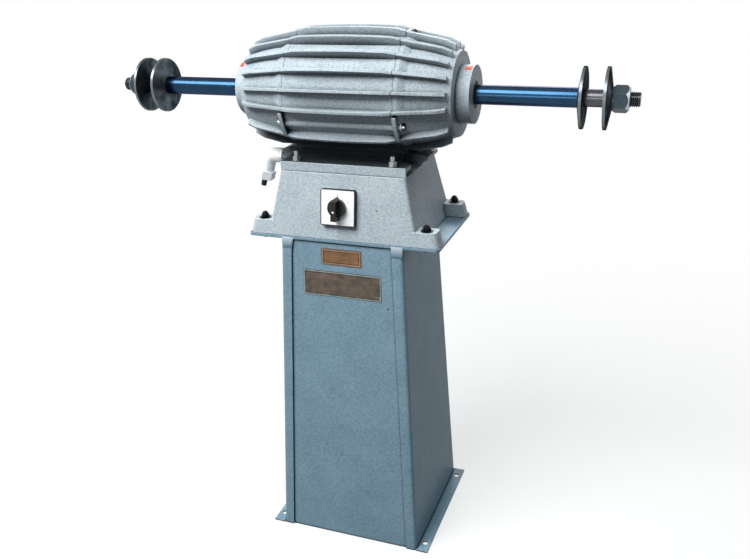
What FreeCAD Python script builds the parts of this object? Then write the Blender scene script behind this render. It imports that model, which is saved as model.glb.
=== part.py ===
import FreeCAD, Part
import Sketcher
import math
import os
from FreeCAD import Placement, Rotation, Vector

# Pedestal polishing lathe: a finned two-ended motor on a cast hopper and a folded
# sheet-steel pedestal.  X runs along the spindle, -Y is the front, +Z is up.
# The origin is on the floor, under the middle of the spindle.

DIMENSIONS = {
    "Clearances": {
        "press_gap": 0.02,
        "running_gap": 0.05,
        "spigot_gap": 0.2,
        "bolt_clearance": 0.5,
        "slot_gap": 0.4,
        "lip_gap": 0.4,
        "knob_gap": 0.6,
        "dial_gap": 0.15,
        "cut_margin": 1,
    },
    "Pedestal": {
        "pedestal_height": 605,
        "pedestal_base_width": 280,
        "pedestal_base_depth": 278,
        "pedestal_top_width": 228,
        "pedestal_top_depth": 212,
        "sheet_thickness": 3,
        "fold_radius": 6,
        "strip_width": 20,
        "panel_lap": 9,
        "panel_slot_width": 150,
        "panel_slot_height": 3,
        "foot_flange_width": 22.5,
        "anchor_hole_radius": 5.5,
        "anchor_pitch": 230,
    },
    "Top plate": {
        "plate_width": 357,
        "plate_depth": 212,
        "plate_thickness": 5,
        "plate_corner_radius": 8,
        "plate_cable_hole_radius": 30,
    },
    "Hopper": {
        "hopper_height": 113.5,
        "hopper_base_width": 280,
        "hopper_base_depth": 206,
        "hopper_top_width": 230,
        "hopper_top_depth": 173,
        "hopper_wall": 8,
        "hopper_corner_radius": 5,
        "boss_reach": 177,
        "boss_top_reach": 171,
        "boss_depth": 31,
        "boss_height": 25,
        "boss_corner_radius": 11,
        "hopper_bolt_x": 152,
        "hopper_bolt_y": 87,
        "hopper_bolt_radius": 4,
        "hopper_bolt_head": 13,
        "hopper_bolt_head_height": 5.5,
        "hopper_washer_radius": 10.5,
        "hopper_washer_thickness": 1.6,
        "dome_nut_height": 5,
        "dome_radius": 5.5,
    },
    "Motor foot": {
        "foot_width": 230,
        "foot_depth": 168,
        "foot_thickness": 8,
        "foot_height": 16.5,
        "foot_skirt": 5,
        "foot_lug_depth": 29,
        "foot_waist_width": 184,
        "foot_waist_depth": 64,
        "foot_pad_radius": 9,
        "stud_x": 88.5,
        "stud_y": 73,
        "stud_radius": 4,
        "stud_above_foot": 17,
        "stud_nut": 13,
        "stud_nut_height": 6.5,
        "stud_washer_radius": 8,
        "stud_washer_thickness": 1.6,
        "saddle_depth": 84,
        "tongue_depth": 60,
        "tongue_reach": 137,
        "tongue_rise": 2,
        "tongue_bevel_drop": 5,
        "tongue_bevel_run": 15,
        "shelf_drop": 3,
        "cable_duct_radius": 9,
    },
    "Motor frame": {
        "axis_above_deck": 126.5,
        "frame_length": 196,
        "frame_bore_radius": 88,
        "frame_root_radius": 94.5,
        "fin_pitch": 18,
        "upper_fins": 12,
        "side_fin_turn": 129,
        "low_fin_turn": 153,
        "fin_root_thickness": 7,
        "fin_tip_thickness": 4.5,
        "crown_radius": 111,
        "crown_edge_radius": 108.7,
        "crown_flat": 164,
        "seam_crest_radius": 104.6,
        "low_crest_radius": 105,
        "crest_curvature": 1500,
    },
    "End shields": {
        "shield_root_run": 12,
        "shield_root_start": 88,
        "shield_face": 188,
        "shield_face_radius": 70,
        "shield_curvature": 300,
        "shield_wall": 7,
        "shield_crest_radius": 104,
        "rim_width": 7,
        "spigot_length": 6,
        "spigot_wall": 6,
        "shield_low_crest_radius": 98,
        "shield_crest_knee": 166,
        "shield_crest_knee_radius": 90.5,
        "shield_fin_end": 182,
        "shield_fin_end_radius": 83,
        "ear_radius": 103.6,
        "ear_half_angle": 14,
        "neck_radius": 48,
        "neck_end": 212,
        "hub_boss_radius": 44,
        "hub_boss_length": 2,
        "bearing_relief": 1,
        "shield_lip_radius": 18.5,
        "tie_circle": 92,
        "tie_side_angle": 27,
        "tie_tube_radius": 7,
        "tie_rod_radius": 3,
        "tie_rod_overhang": 17,
        "tie_nut": 10,
        "tie_nut_height": 5,
        "tie_pocket_radius": 8,
    },
    "Bearings and seals": {
        "bearing_outer_radius": 36,
        "bearing_inner_radius": 17.5,
        "bearing_width": 17,
        "bearing_start": 187,
        "outer_ring_wall": 5,
        "inner_ring_wall": 5.2,
        "bearing_shield_thickness": 1.2,
        "bearing_shield_inset": 0.6,
        "seal_depth": 5,
        "seal_radius": 22.5,
    },
    "Windings and rotor": {
        "core_length": 110,
        "stator_wall": 38,
        "slot_count": 24,
        "slot_depth": 20,
        "slot_width": 7,
        "end_turn_gap": 3,
        "end_turn_reach": 84,
        "end_turn_step": 3,
        "end_turn_margin": 10,
        "end_turn_corner": 7,
        "coil_overlap": 3,
        "air_gap": 0.6,
        "end_ring_width": 10,
        "end_ring_inner_radius": 32,
        "end_ring_step": 0.5,
    },
    "Spindle and wheel flanges": {
        "core_seat_radius": 22,
        "core_seat_length": 130,
        "inner_shaft_radius": 20,
        "spindle_radius": 16,
        "flange_seat": 378,
        "flange_seat_radius": 14,
        "flange_radius": 49.2,
        "flange_rim": 4.4,
        "flange_hub": 10,
        "flange_hub_radius": 20,
        "wheel_gap": 32,
        "thread_radius": 12,
        "thread_relief": 3,
        "nut_across_flats": 38,
        "nut_length": 27,
        "nut_chamfer": 9,
        "nut_face_inset": 0.5,
        "spindle_end": 473,
        "spindle_chamfer": 2,
    },
    "Switch": {
        "switch_x": -3,
        "switch_height": 57.6,
        "bezel_size": 64,
        "bezel_thickness": 8,
        "bezel_corner_radius": 4,
        "dial_size": 60.4,
        "dial_thickness": 0.8,
        "dial_corner_radius": 2,
        "dial_hole_radius": 6,
        "switch_neck_radius": 11,
        "switch_block_size": 45,
        "switch_block_depth": 58,
        "knob_radius": 16,
        "knob_base_height": 7,
        "grip_width": 9.5,
        "grip_height": 20.5,
        "grip_tail": 21,
        "grip_nose": 14,
        "pointer_reach": 20,
        "pointer_height": 1.5,
        "grip_edge_radius": 1.2,
        "knob_shaft_radius": 3,
        "knob_shaft_depth": 14,
    },
    "Cable gland": {
        "gland_y": -20,
        "gland_above_deck": 9.5,
        "gland_boss_radius": 12.5,
        "gland_boss_start": 118,
        "gland_boss_end": 139,
        "gland_thread_radius": 8,
        "gland_spigot": 14,
        "gland_locknut": 25,
        "gland_locknut_width": 5,
        "gland_elbow_radius": 13.5,
        "gland_elbow_straight": 12,
        "gland_bend_radius": 16,
        "gland_drop": 18,
        "gland_tilt": 18,
        "gland_stub_radius": 11,
        "gland_nut": 30,
        "gland_nut_height": 16,
        "gland_nut_floor": 4,
        "gland_bush_radius": 5,
        "gland_bush_bore_radius": 3.5,
        "gland_bush_length": 20,
    },
    "Label plates": {
        "label_thickness": 0.8,
        "label_corner_radius": 1.5,
        "large_label_width": 147,
        "large_label_height": 46,
        "large_label_drop": 78,
        "small_label_width": 75,
        "small_label_height": 29,
        "small_label_drop": 27,
    },
}

doc = FreeCAD.newDocument("polishing_lathe")
sheet = doc.addObject("Spreadsheet::Sheet", "dims")
PIECES = []


# ---------------------------------------------------------------- helpers

def fill_sheet():
    row = 1
    for group, values in DIMENSIONS.items():
        sheet.set(f"A{row}", group)
        row += 1
        for alias, size in values.items():
            sheet.set(f"A{row}", alias)
            sheet.set(f"B{row}", str(size))
            sheet.setAlias(f"B{row}", alias)
            row += 1
    doc.recompute()


def value(expression):
    """The present value of an expression over the sheet."""
    result = sheet.evalExpression(str(expression))
    return float(getattr(result, "Value", result))


def minus(expression):
    return f"-({expression})"


def new_body(label, at=("0", "0", "0"), turn=None, axis=Vector(1, 0, 0)):
    """A body whose place, and turn about an axis, follow expressions."""
    body = doc.addObject("PartDesign::Body", label)
    body.Label = label
    body.AllowCompound = True
    if turn:
        body.Placement = Placement(Vector(), Rotation(axis, value(turn)))
        body.setExpression(".Placement.Rotation.Angle", turn)
    for coordinate, expression in zip("xyz", at):
        body.setExpression(f".Placement.Base.{coordinate}", str(expression))
    PIECES.append(body)
    return body


def origin_part(body, role):
    return next(part for part in body.Origin.OriginFeatures if part.Role == role)


def new_sketch(body, plane, name, offset=None, turn=None, turn_axis=Vector(0, 0, 1), shift=None):
    """An empty sketch on one of the body's own planes, moved off it and turned."""
    sketch = body.newObject("Sketcher::SketchObject", name)
    sketch.AttachmentSupport = [(origin_part(body, plane), "")]
    sketch.MapMode = "FlatFace"
    if turn:
        sketch.AttachmentOffset = Placement(Vector(), Rotation(turn_axis, value(turn)))
        sketch.setExpression("AttachmentOffset.Rotation.Angle", turn)
    if offset:
        sketch.setExpression("AttachmentOffset.Base.z", offset)
    if shift:
        sketch.setExpression("AttachmentOffset.Base.x", shift)
    return sketch


def drive(sketch, constraint, expression):
    index = sketch.addConstraint(constraint)
    sketch.setExpression(f"Constraints[{index}]", str(expression))


def pin(sketch, geometry, end, x, y):
    """Hold one point of a sketch at two expressions."""
    for kind, expression, other_axis in (("DistanceX", x, -2), ("DistanceY", y, -1)):
        distance = value(expression)
        if abs(distance) < 1e-9:
            sketch.addConstraint(Sketcher.Constraint("PointOnObject", geometry, end, other_axis))
        else:
            drive(sketch, Sketcher.Constraint(kind, -1, 1, geometry, end, distance), expression)


def arc_between(start, end, radius, clockwise):
    """The short arc from start to end; its sketch direction is counter-clockwise."""
    first, last = (end, start) if clockwise else (start, end)
    chord = last - first
    height = math.sqrt(max(radius ** 2 - (chord.Length / 2) ** 2, 0))
    normal = Vector(-chord.y, chord.x, 0).normalize()
    centre = first + chord * 0.5 + normal * height
    angles = [math.atan2(point.y - centre.y, point.x - centre.x) for point in (first, last)]
    return Part.ArcOfCircle(Part.Circle(centre, Vector(0, 0, 1), radius), *angles)


def outline(sketch, vertices):
    """A closed outline.  (x, y) starts a line and (x, y, radius, turn) starts an arc,
    whose turn is "cw" or "ccw"."""
    points = [Vector(value(vertex[0]), value(vertex[1]), 0) for vertex in vertices]
    starts = []
    ends = []
    for index, vertex in enumerate(vertices):
        begin = points[index]
        finish = points[(index + 1) % len(points)]
        if len(vertex) == 2:
            geometry = sketch.addGeometry(Part.LineSegment(begin, finish))
            starts.append((geometry, 1))
            ends.append((geometry, 2))
            continue
        clockwise = vertex[3] == "cw"
        arc = arc_between(begin, finish, value(vertex[2]), clockwise)
        geometry = sketch.addGeometry(arc)
        starts.append((geometry, 2 if clockwise else 1))
        ends.append((geometry, 1 if clockwise else 2))
        drive(sketch, Sketcher.Constraint("Radius", geometry, value(vertex[2])), vertex[2])
    for index, vertex in enumerate(vertices):
        pin(sketch, *starts[index], vertex[0], vertex[1])
        sketch.addConstraint(Sketcher.Constraint("Coincident", *ends[index - 1], *starts[index]))
    return sketch


def circle(sketch, x, y, radius):
    centre = Vector(value(x), value(y), 0)
    geometry = sketch.addGeometry(Part.Circle(centre, Vector(0, 0, 1), value(radius)))
    pin(sketch, geometry, 3, x, y)
    drive(sketch, Sketcher.Constraint("Radius", geometry, value(radius)), radius)


def hexagon(sketch, x, y, across_flats, flats="level"):
    """A hexagon whose flats lie level, or upright."""
    half = f"({across_flats}) / 2"
    point = f"({across_flats}) / 2 / cos(30)"
    corners = [(point, "0"), (f"{point} / 2", half), (f"-{point} / 2", half),
               (f"-{point}", "0"), (f"-{point} / 2", f"-{half}"), (f"{point} / 2", f"-{half}")]
    if flats == "upright":
        corners = [(f"-({v})", u) for u, v in corners]
    outline(sketch, [(f"({x}) + ({u})", f"({y}) + ({v})") for u, v in corners])


def rectangle(left, bottom, right, top):
    return [(left, bottom), (right, bottom), (right, top), (left, top)]


def centred(width, height):
    """A rectangle about the sketch's origin."""
    return rectangle(f"-({width}) / 2", f"-({height}) / 2", f"({width}) / 2", f"({height}) / 2")


def rounded(width, height, radius):
    """A rectangle about the sketch's origin with round corners."""
    x = f"(({width}) / 2)"
    y = f"(({height}) / 2)"
    return [
        (f"-{x} + {radius}", f"-{y}"),
        (f"{x} - {radius}", f"-{y}", radius, "ccw"),
        (x, f"-{y} + {radius}"),
        (x, f"{y} - {radius}", radius, "ccw"),
        (f"{x} - {radius}", y),
        (f"-{x} + {radius}", y, radius, "ccw"),
        (f"-{x}", f"{y} - {radius}"),
        (f"-{x}", f"-{y} + {radius}", radius, "ccw"),
    ]


def add_feature(body, kind, name):
    feature = body.newObject(f"PartDesign::{kind}", name)
    feature.Refine = True
    return feature


def volume(body):
    return 0 if body.Shape.isNull() else body.Shape.Volume


def pad(body, sketch, length, symmetric=False, backwards=False):
    feature = add_feature(body, "Pad", f"{sketch.Name}_pad")
    feature.Profile = sketch
    feature.SideType = "Symmetric" if symmetric else "One side"
    feature.Reversed = backwards
    feature.setExpression("Length", str(length))
    doc.recompute()
    return feature


def cut(body, sketch, length=None, symmetric=False, backwards=False):
    """A pocket, right through where no length is given; it must remove material."""
    doc.recompute()
    before = volume(body)
    feature = add_feature(body, "Pocket", f"{sketch.Name}_cut")
    feature.Profile = sketch
    feature.Reversed = backwards
    if length:
        feature.SideType = "Symmetric" if symmetric else "One side"
        feature.setExpression("Length", str(length))
    else:
        feature.SideType = "Symmetric"
        feature.Type = "ThroughAll"
    doc.recompute()
    if volume(body) > before - 1e-3:
        raise ValueError(f"{body.Label}: {feature.Name} removed nothing")
    return feature


def turned(body, sketch, kind="Revolution", axis="X_Axis"):
    """A solid or a groove of revolution about one of the body's axes."""
    doc.recompute()
    before = volume(body)
    feature = add_feature(body, kind, f"{sketch.Name}_turned")
    feature.Profile = sketch
    feature.ReferenceAxis = (origin_part(body, axis), [""])
    feature.Angle = 360
    doc.recompute()
    if kind == "Groove" and volume(body) > before - 1e-3:
        raise ValueError(f"{body.Label}: {feature.Name} removed nothing")
    return feature


def loft(body, first, last, kind="AdditiveLoft"):
    feature = add_feature(body, kind, f"{first.Name}_loft")
    feature.Profile = first
    feature.Sections = [last]
    feature.Ruled = True
    doc.recompute()
    return feature


def ring_of(body, feature, count, pitch=None, axis="X_Axis"):
    """A polar pattern: a full circle, or a row with a given pitch in degrees."""
    pattern = add_feature(body, "PolarPattern", f"{feature.Name}_ring")
    pattern.Originals = [feature]
    pattern.Axis = (origin_part(body, axis), [""])
    if pitch:
        pattern.Mode = "Spacing"
        pattern.setExpression("Offset", pitch)
    else:
        pattern.Angle = 360
    pattern.setExpression("Occurrences", str(count))
    body.Tip = pattern
    doc.recompute()
    return pattern


def mirrored(body, features, planes):
    """Repeat features across one plane, or across two for four corners."""
    steps = []
    pattern = add_feature(body, "MultiTransform", f"{features[0].Name}_corners")
    pattern.Originals = features
    for plane in planes:
        step = body.newObject("PartDesign::Mirrored", f"{features[0].Name}_{plane}")
        step.MirrorPlane = (origin_part(body, plane), [""])
        steps.append(step)
    pattern.Transformations = steps
    body.Tip = pattern
    doc.recompute()
    return pattern


def fillet(body, radius, test):
    """Round the edges of the body that the test picks."""
    base = body.Tip
    names = [f"Edge{number}" for number, edge in enumerate(base.Shape.Edges, 1) if test(edge)]
    if not names:
        raise ValueError(f"{body.Label}: no edges to round")
    feature = add_feature(body, "Fillet", f"{body.Label}_round{len(body.Group)}")
    feature.Base = (base, names)
    feature.setExpression("Radius", str(radius))
    body.Tip = feature
    doc.recompute()
    return feature


CORNERS = ("YZ_Plane", "XZ_Plane")

# ---------------------------------------------------------------- levels and slopes

PLATE_TOP = "(dims.pedestal_height + dims.plate_thickness)"
DECK = f"({PLATE_TOP} + dims.hopper_height)"
SPINDLE_HEIGHT = f"({DECK} + dims.axis_above_deck)"
FOOT_TOP = f"({DECK} + dims.foot_height)"
SEAM = "(dims.frame_length / 2)"
STATOR_BORE = "(dims.frame_bore_radius - dims.stator_wall)"


def pedestal_half(side, level):
    """Half the pedestal's outer width or depth at a height."""
    base = f"dims.pedestal_base_{side}"
    top = f"dims.pedestal_top_{side}"
    return f"(({base} + ({top} - {base}) * ({level}) / dims.pedestal_height) / 2)"


def hopper_half(side, level):
    """Half the hopper's outer width or depth at a height above its base."""
    base = f"dims.hopper_base_{side}"
    top = f"dims.hopper_top_{side}"
    return f"(({base} + ({top} - {base}) * ({level}) / dims.hopper_height) / 2)"


# ---------------------------------------------------------------- pedestal

def side_sheet(label, side):
    """A folded side wall with a strip at the front and back and a foot flange."""
    body = new_body(label)
    wall = "dims.sheet_thickness"
    fold = "dims.fold_radius"
    inner_fold = f"({fold} - {wall})"
    out, back = ("ccw", "cw") if side > 0 else ("cw", "ccw")
    sketches = []
    for name, level in (("foot_section", "0"), ("top_section", "dims.pedestal_height")):
        half_width = pedestal_half("width", level)
        half_depth = pedestal_half("depth", level)
        sketch = new_sketch(body, "XY_Plane", f"{label}_{name}", offset=level)
        outer = f"{side} * {half_width}"
        inner = f"{side} * ({half_width} - {wall})"
        fold_start = f"{side} * ({half_width} - {fold})"
        strip_end = f"{side} * ({half_width} - dims.strip_width)"
        outline(sketch, [
            (strip_end, f"-{half_depth}"),
            (fold_start, f"-{half_depth}", fold, out),
            (outer, f"-{half_depth} + {fold}"),
            (outer, f"{half_depth} - {fold}", fold, out),
            (fold_start, half_depth),
            (strip_end, half_depth),
            (strip_end, f"{half_depth} - {wall}"),
            (fold_start, f"{half_depth} - {wall}", inner_fold, back),
            (inner, f"{half_depth} - {fold}"),
            (inner, f"-{half_depth} + {fold}", inner_fold, back),
            (fold_start, f"-{half_depth} + {wall}"),
            (strip_end, f"-{half_depth} + {wall}"),
        ])
        sketches.append(sketch)
    loft(body, *sketches)
    flange = new_sketch(body, "XY_Plane", f"{label}_flange")
    half_width = pedestal_half("width", "0")
    half_depth = pedestal_half("depth", "0")
    flange_end = f"{side} * ({half_width} + dims.foot_flange_width)"
    outline(flange, rectangle(
        f"{side} * ({half_width} - {wall} / 2)", f"-{half_depth}", flange_end, half_depth))
    pad(body, flange, wall)
    holes = new_sketch(body, "XY_Plane", f"{label}_anchor_holes")
    hole_x = f"{side} * ({half_width} + dims.foot_flange_width / 2)"
    for end in (-1, 1):
        circle(holes, hole_x, f"{end} * dims.anchor_pitch / 2", "dims.anchor_hole_radius")
    cut(body, holes)


def end_panel(label, side):
    """A flat panel lapped behind the side sheets' strips; -1 is the front."""
    body = new_body(label)
    wall = "dims.sheet_thickness"
    sketches = []
    for name, level in (("foot_section", "0"), ("top_section", "dims.pedestal_height")):
        half_width = f"({pedestal_half('width', level)} - dims.strip_width + dims.panel_lap)"
        outer = f"({pedestal_half('depth', level)} - {wall})"
        sketch = new_sketch(body, "XY_Plane", f"{label}_{name}", offset=level)
        outline(sketch, rectangle(
            f"-{half_width}", f"{side} * {outer}", half_width, f"{side} * ({outer} - {wall})"))
        sketches.append(sketch)
    loft(body, *sketches)
    slot = new_sketch(body, "XZ_Plane", f"{label}_slot")
    outline(slot, rectangle(
        "-dims.panel_slot_width / 2", "dims.pedestal_height - dims.panel_slot_height",
        "dims.panel_slot_width / 2", "dims.pedestal_height"))
    cut(body, slot)


def top_plate():
    body = new_body("top_plate", at=("0", "0", "dims.pedestal_height"))
    sketch = new_sketch(body, "XY_Plane", "plate_outline")
    outline(sketch, rounded("dims.plate_width", "dims.plate_depth", "dims.plate_corner_radius"))
    circle(sketch, "0", "0", "dims.plate_cable_hole_radius")
    for x in (-1, 1):
        for y in (-1, 1):
            circle(sketch, f"{x} * dims.hopper_bolt_x", f"{y} * dims.hopper_bolt_y",
                   "dims.hopper_bolt_radius + dims.bolt_clearance")
    pad(body, sketch, "dims.plate_thickness")


# ---------------------------------------------------------------- hopper

def hopper():
    """The cast base of the motor: a hollow pyramid with four bolting bosses."""
    body = new_body("hopper", at=("0", "0", PLATE_TOP))
    top = "dims.hopper_height"
    sketches = []
    for name, level in (("hopper_base", "0"), ("hopper_roof", top)):
        sketch = new_sketch(body, "XY_Plane", name, offset=level)
        width = f"2 * {hopper_half('width', level)}"
        depth = f"2 * {hopper_half('depth', level)}"
        outline(sketch, rounded(width, depth, "dims.hopper_corner_radius"))
        sketches.append(sketch)
    loft(body, *sketches)
    sketches = []
    radius = "dims.boss_corner_radius"
    for name, level, reach in (("boss_foot", "0", "dims.boss_reach"),
                               ("boss_top", "dims.boss_height", "dims.boss_top_reach")):
        front = hopper_half("depth", level)
        back = f"({front} - dims.boss_depth)"
        inner = f"({hopper_half('width', level)} - dims.hopper_wall)"
        sketch = new_sketch(body, "XY_Plane", name, offset=level)
        outline(sketch, [
            (inner, f"-{front}"),
            (f"{reach} - {radius}", f"-{front}", radius, "ccw"),
            (reach, f"-{front} + {radius}"),
            (reach, f"-{back} - {radius} / 2", f"{radius} / 2", "ccw"),
            (f"{reach} - {radius} / 2", f"-{back}"),
            (inner, f"-{back}"),
        ])
        sketches.append(sketch)
    boss = loft(body, *sketches)
    mirrored(body, [boss], CORNERS)
    cavity_top = f"{top} - dims.hopper_wall"
    sketches = []
    for name, level in (("cavity_base", "0"), ("cavity_roof", cavity_top)):
        sketch = new_sketch(body, "XY_Plane", name, offset=level)
        outline(sketch, centred(
            f"2 * ({hopper_half('width', level)} - dims.hopper_wall)",
            f"2 * ({hopper_half('depth', level)} - dims.hopper_wall)"))
        sketches.append(sketch)
    loft(body, *sketches, kind="SubtractiveLoft")
    holes = new_sketch(body, "XY_Plane", "hopper_holes")
    circle(holes, "0", "0", "dims.cable_duct_radius")
    for x in (-1, 1):
        for y in (-1, 1):
            circle(holes, f"{x} * dims.hopper_bolt_x", f"{y} * dims.hopper_bolt_y",
                   "dims.hopper_bolt_radius + dims.bolt_clearance")
            circle(holes, f"{x} * dims.stud_x", f"{y} * dims.stud_y",
                   "dims.stud_radius + dims.press_gap")
    cut(body, holes)
    mouth = new_sketch(body, "XZ_Plane", "switch_mouth",
                       turn=minus(FACE_TILT), turn_axis=Vector(1, 0, 0))
    circle(mouth, "dims.switch_x", SWITCH_UP_FACE, "dims.switch_neck_radius + dims.running_gap")
    cut(body, mouth, "dims.hopper_base_depth", backwards=True)


# The switch sits on the hopper's sloping front face.
FACE_TILT = "atan((dims.hopper_base_depth - dims.hopper_top_depth) / 2 / dims.hopper_height)"
SWITCH_UP_FACE = (f"(dims.switch_height * cos({FACE_TILT})"
                  f" - {hopper_half('depth', 'dims.switch_height')} * sin({FACE_TILT}))")
SWITCH_AT = ("dims.switch_x",
             f"-{hopper_half('depth', 'dims.switch_height')}",
             f"{PLATE_TOP} + dims.switch_height")
SWITCH_TURN = f"90 deg - {FACE_TILT}"


# ---------------------------------------------------------------- fasteners

def corner_group(label, level, x, y, build):
    """Four like fasteners at (+-x, +-y): build(body) makes the one at +x +y."""
    body = new_body(label, at=("0", "0", level))
    features = build(body, x, y)
    mirrored(body, features, CORNERS)


def hex_pad(body, name, x, y, across_flats, height, base="0", bore=None):
    sketch = new_sketch(body, "XY_Plane", name, offset=base)
    hexagon(sketch, x, y, across_flats)
    if bore:
        circle(sketch, x, y, bore)
    return pad(body, sketch, height)


def round_pad(body, name, x, y, radius, height, base="0", bore=None):
    sketch = new_sketch(body, "XY_Plane", name, offset=base)
    circle(sketch, x, y, radius)
    if bore:
        circle(sketch, x, y, bore)
    return pad(body, sketch, height)


def hopper_fasteners():
    x = "dims.hopper_bolt_x"
    y = "dims.hopper_bolt_y"
    radius = "dims.hopper_bolt_radius"
    boss_top = f"({PLATE_TOP} + dims.boss_height)"
    nut_seat = f"({boss_top} + dims.hopper_washer_thickness)"
    shank = f"{nut_seat} + dims.dome_nut_height - dims.pedestal_height"

    def bolt(body, x, y):
        head = hex_pad(body, "hopper_bolt_head", x, y, "dims.hopper_bolt_head",
                       "dims.hopper_bolt_head_height", base="-dims.hopper_bolt_head_height")
        return [head, round_pad(body, "hopper_bolt_shank", x, y, radius, shank)]

    def washer(body, x, y):
        return [round_pad(body, "hopper_washer_ring", x, y, "dims.hopper_washer_radius",
                          "dims.hopper_washer_thickness", bore=f"{radius} + dims.bolt_clearance")]

    def dome_nut(body, x, y):
        bore = f"{radius} + dims.running_gap"
        nut = hex_pad(body, "dome_nut_hex", x, y, "dims.hopper_bolt_head",
                      "dims.dome_nut_height", bore=bore)
        dome = new_sketch(body, "XZ_Plane", "dome_nut_dome", offset=f"-({y})")
        outline(dome, [
            (x, "dims.dome_nut_height"),
            (f"{x} + dims.dome_radius", "dims.dome_nut_height", "dims.dome_radius", "ccw"),
            (x, "dims.dome_nut_height + dims.dome_radius"),
        ])
        cap = add_feature(body, "Revolution", "dome_nut_cap")
        cap.Profile = dome
        cap.ReferenceAxis = (dome, ["Edge3"])
        cap.Angle = 360
        doc.recompute()
        return [nut, cap]

    corner_group("hopper_bolts", "dims.pedestal_height", x, y, bolt)
    corner_group("hopper_washers", boss_top, x, y, washer)
    corner_group("hopper_dome_nuts", nut_seat, x, y, dome_nut)


def foot_fasteners():
    x = "dims.stud_x"
    y = "dims.stud_y"
    radius = "dims.stud_radius"
    stud_foot = f"({DECK} - dims.hopper_wall)"
    stud_length = "dims.hopper_wall + dims.foot_height + dims.stud_above_foot"

    def stud(body, x, y):
        return [round_pad(body, "foot_stud_rod", x, y, radius, stud_length)]

    def washer(body, x, y):
        return [round_pad(body, "foot_washer_ring", x, y, "dims.stud_washer_radius",
                          "dims.stud_washer_thickness", bore=f"{radius} + dims.bolt_clearance")]

    def nut(body, x, y):
        return [hex_pad(body, "foot_nut_hex", x, y, "dims.stud_nut", "dims.stud_nut_height",
                        bore=f"{radius} + dims.running_gap")]

    corner_group("foot_studs", stud_foot, x, y, stud)
    corner_group("foot_washers", FOOT_TOP, x, y, washer)
    corner_group("foot_nuts", f"{FOOT_TOP} + dims.stud_washer_thickness", x, y, nut)


# ---------------------------------------------------------------- motor frame

ROOT_INSIDE = "((dims.frame_bore_radius + dims.frame_root_radius) / 2)"
SHIELD_ROOT_INSIDE = "(dims.shield_face_radius - dims.cut_margin)"


def tapered_fin(body, name, crest, turn, length, start=None):
    """One fin along X; turn is its angle about the axis from the top."""
    sketch = new_sketch(body, "YZ_Plane", name, offset=start, turn=turn)
    root = SHIELD_ROOT_INSIDE if start else ROOT_INSIDE
    outline(sketch, [
        ("-dims.fin_root_thickness / 2", root),
        ("dims.fin_root_thickness / 2", root),
        ("dims.fin_tip_thickness / 2", crest),
        ("-dims.fin_tip_thickness / 2", crest),
    ])
    return pad(body, sketch, length, symmetric=start is None)


def fin_rows(body, name, crest, low_crest, length, start=None):
    """Fins all round the top, one under each side tie rod and a low one beside the saddle."""
    first = "(-dims.fin_pitch * (dims.upper_fins - 1) / 2)"
    fin = tapered_fin(body, f"{name}_upper", crest, first, length, start)
    ring_of(body, fin, "dims.upper_fins", pitch="dims.fin_pitch")
    for end, side in (("front", 1), ("rear", -1)):
        for level, turn, reach in (("side", "dims.side_fin_turn", crest),
                                   ("low", "dims.low_fin_turn", low_crest)):
            tapered_fin(body, f"{name}_{end}_{level}", reach, f"{side} * {turn}", length, start)


def tie_points():
    """The tie rods' places (Y, Z) about the motor's axis."""
    circle_radius = "dims.tie_circle"
    side = f"{circle_radius} * cos(dims.tie_side_angle)"
    drop = f"-{circle_radius} * sin(dims.tie_side_angle)"
    return [("0", circle_radius), (f"-{side}", drop), (side, drop)]


def stator_frame():
    """The barrel casting with its fins, tie-rod tubes, saddle and foot."""
    body = new_body("stator_frame", at=("0", "0", SPINDLE_HEIGHT))
    barrel = new_sketch(body, "YZ_Plane", "barrel")
    circle(barrel, "0", "0", "dims.frame_root_radius")
    pad(body, barrel, "dims.frame_length", symmetric=True)
    fin_rows(body, "frame_fins", "dims.crown_radius + dims.cut_margin", "dims.low_crest_radius",
             "dims.frame_length")
    crest = new_sketch(body, "XZ_Plane", "frame_crest")
    flat = "(dims.crown_flat / 2)"
    above = "(dims.crown_radius + 3 * dims.cut_margin)"
    outline(crest, [
        (minus(SEAM), "dims.seam_crest_radius"),
        (minus(flat), "dims.crown_edge_radius", "dims.crest_curvature", "cw"),
        (flat, "dims.crown_edge_radius"),
        (SEAM, "dims.seam_crest_radius"),
        (SEAM, above),
        (minus(SEAM), above),
    ])
    turned(body, crest, "Groove")
    for number, (y, z) in enumerate(tie_points()):
        tube = new_sketch(body, "YZ_Plane", f"tie_tube_{number}")
        circle(tube, y, z, "dims.tie_tube_radius")
        pad(body, tube, "dims.frame_length", symmetric=True)
    saddle_and_foot(body)
    bore = new_sketch(body, "YZ_Plane", "frame_bore")
    circle(bore, "0", "0", "dims.frame_bore_radius")
    cut(body, bore)
    rods = new_sketch(body, "YZ_Plane", "tie_rod_holes")
    for y, z in tie_points():
        circle(rods, y, z, "dims.tie_rod_radius + dims.bolt_clearance / 2")
    cut(body, rods)


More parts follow.
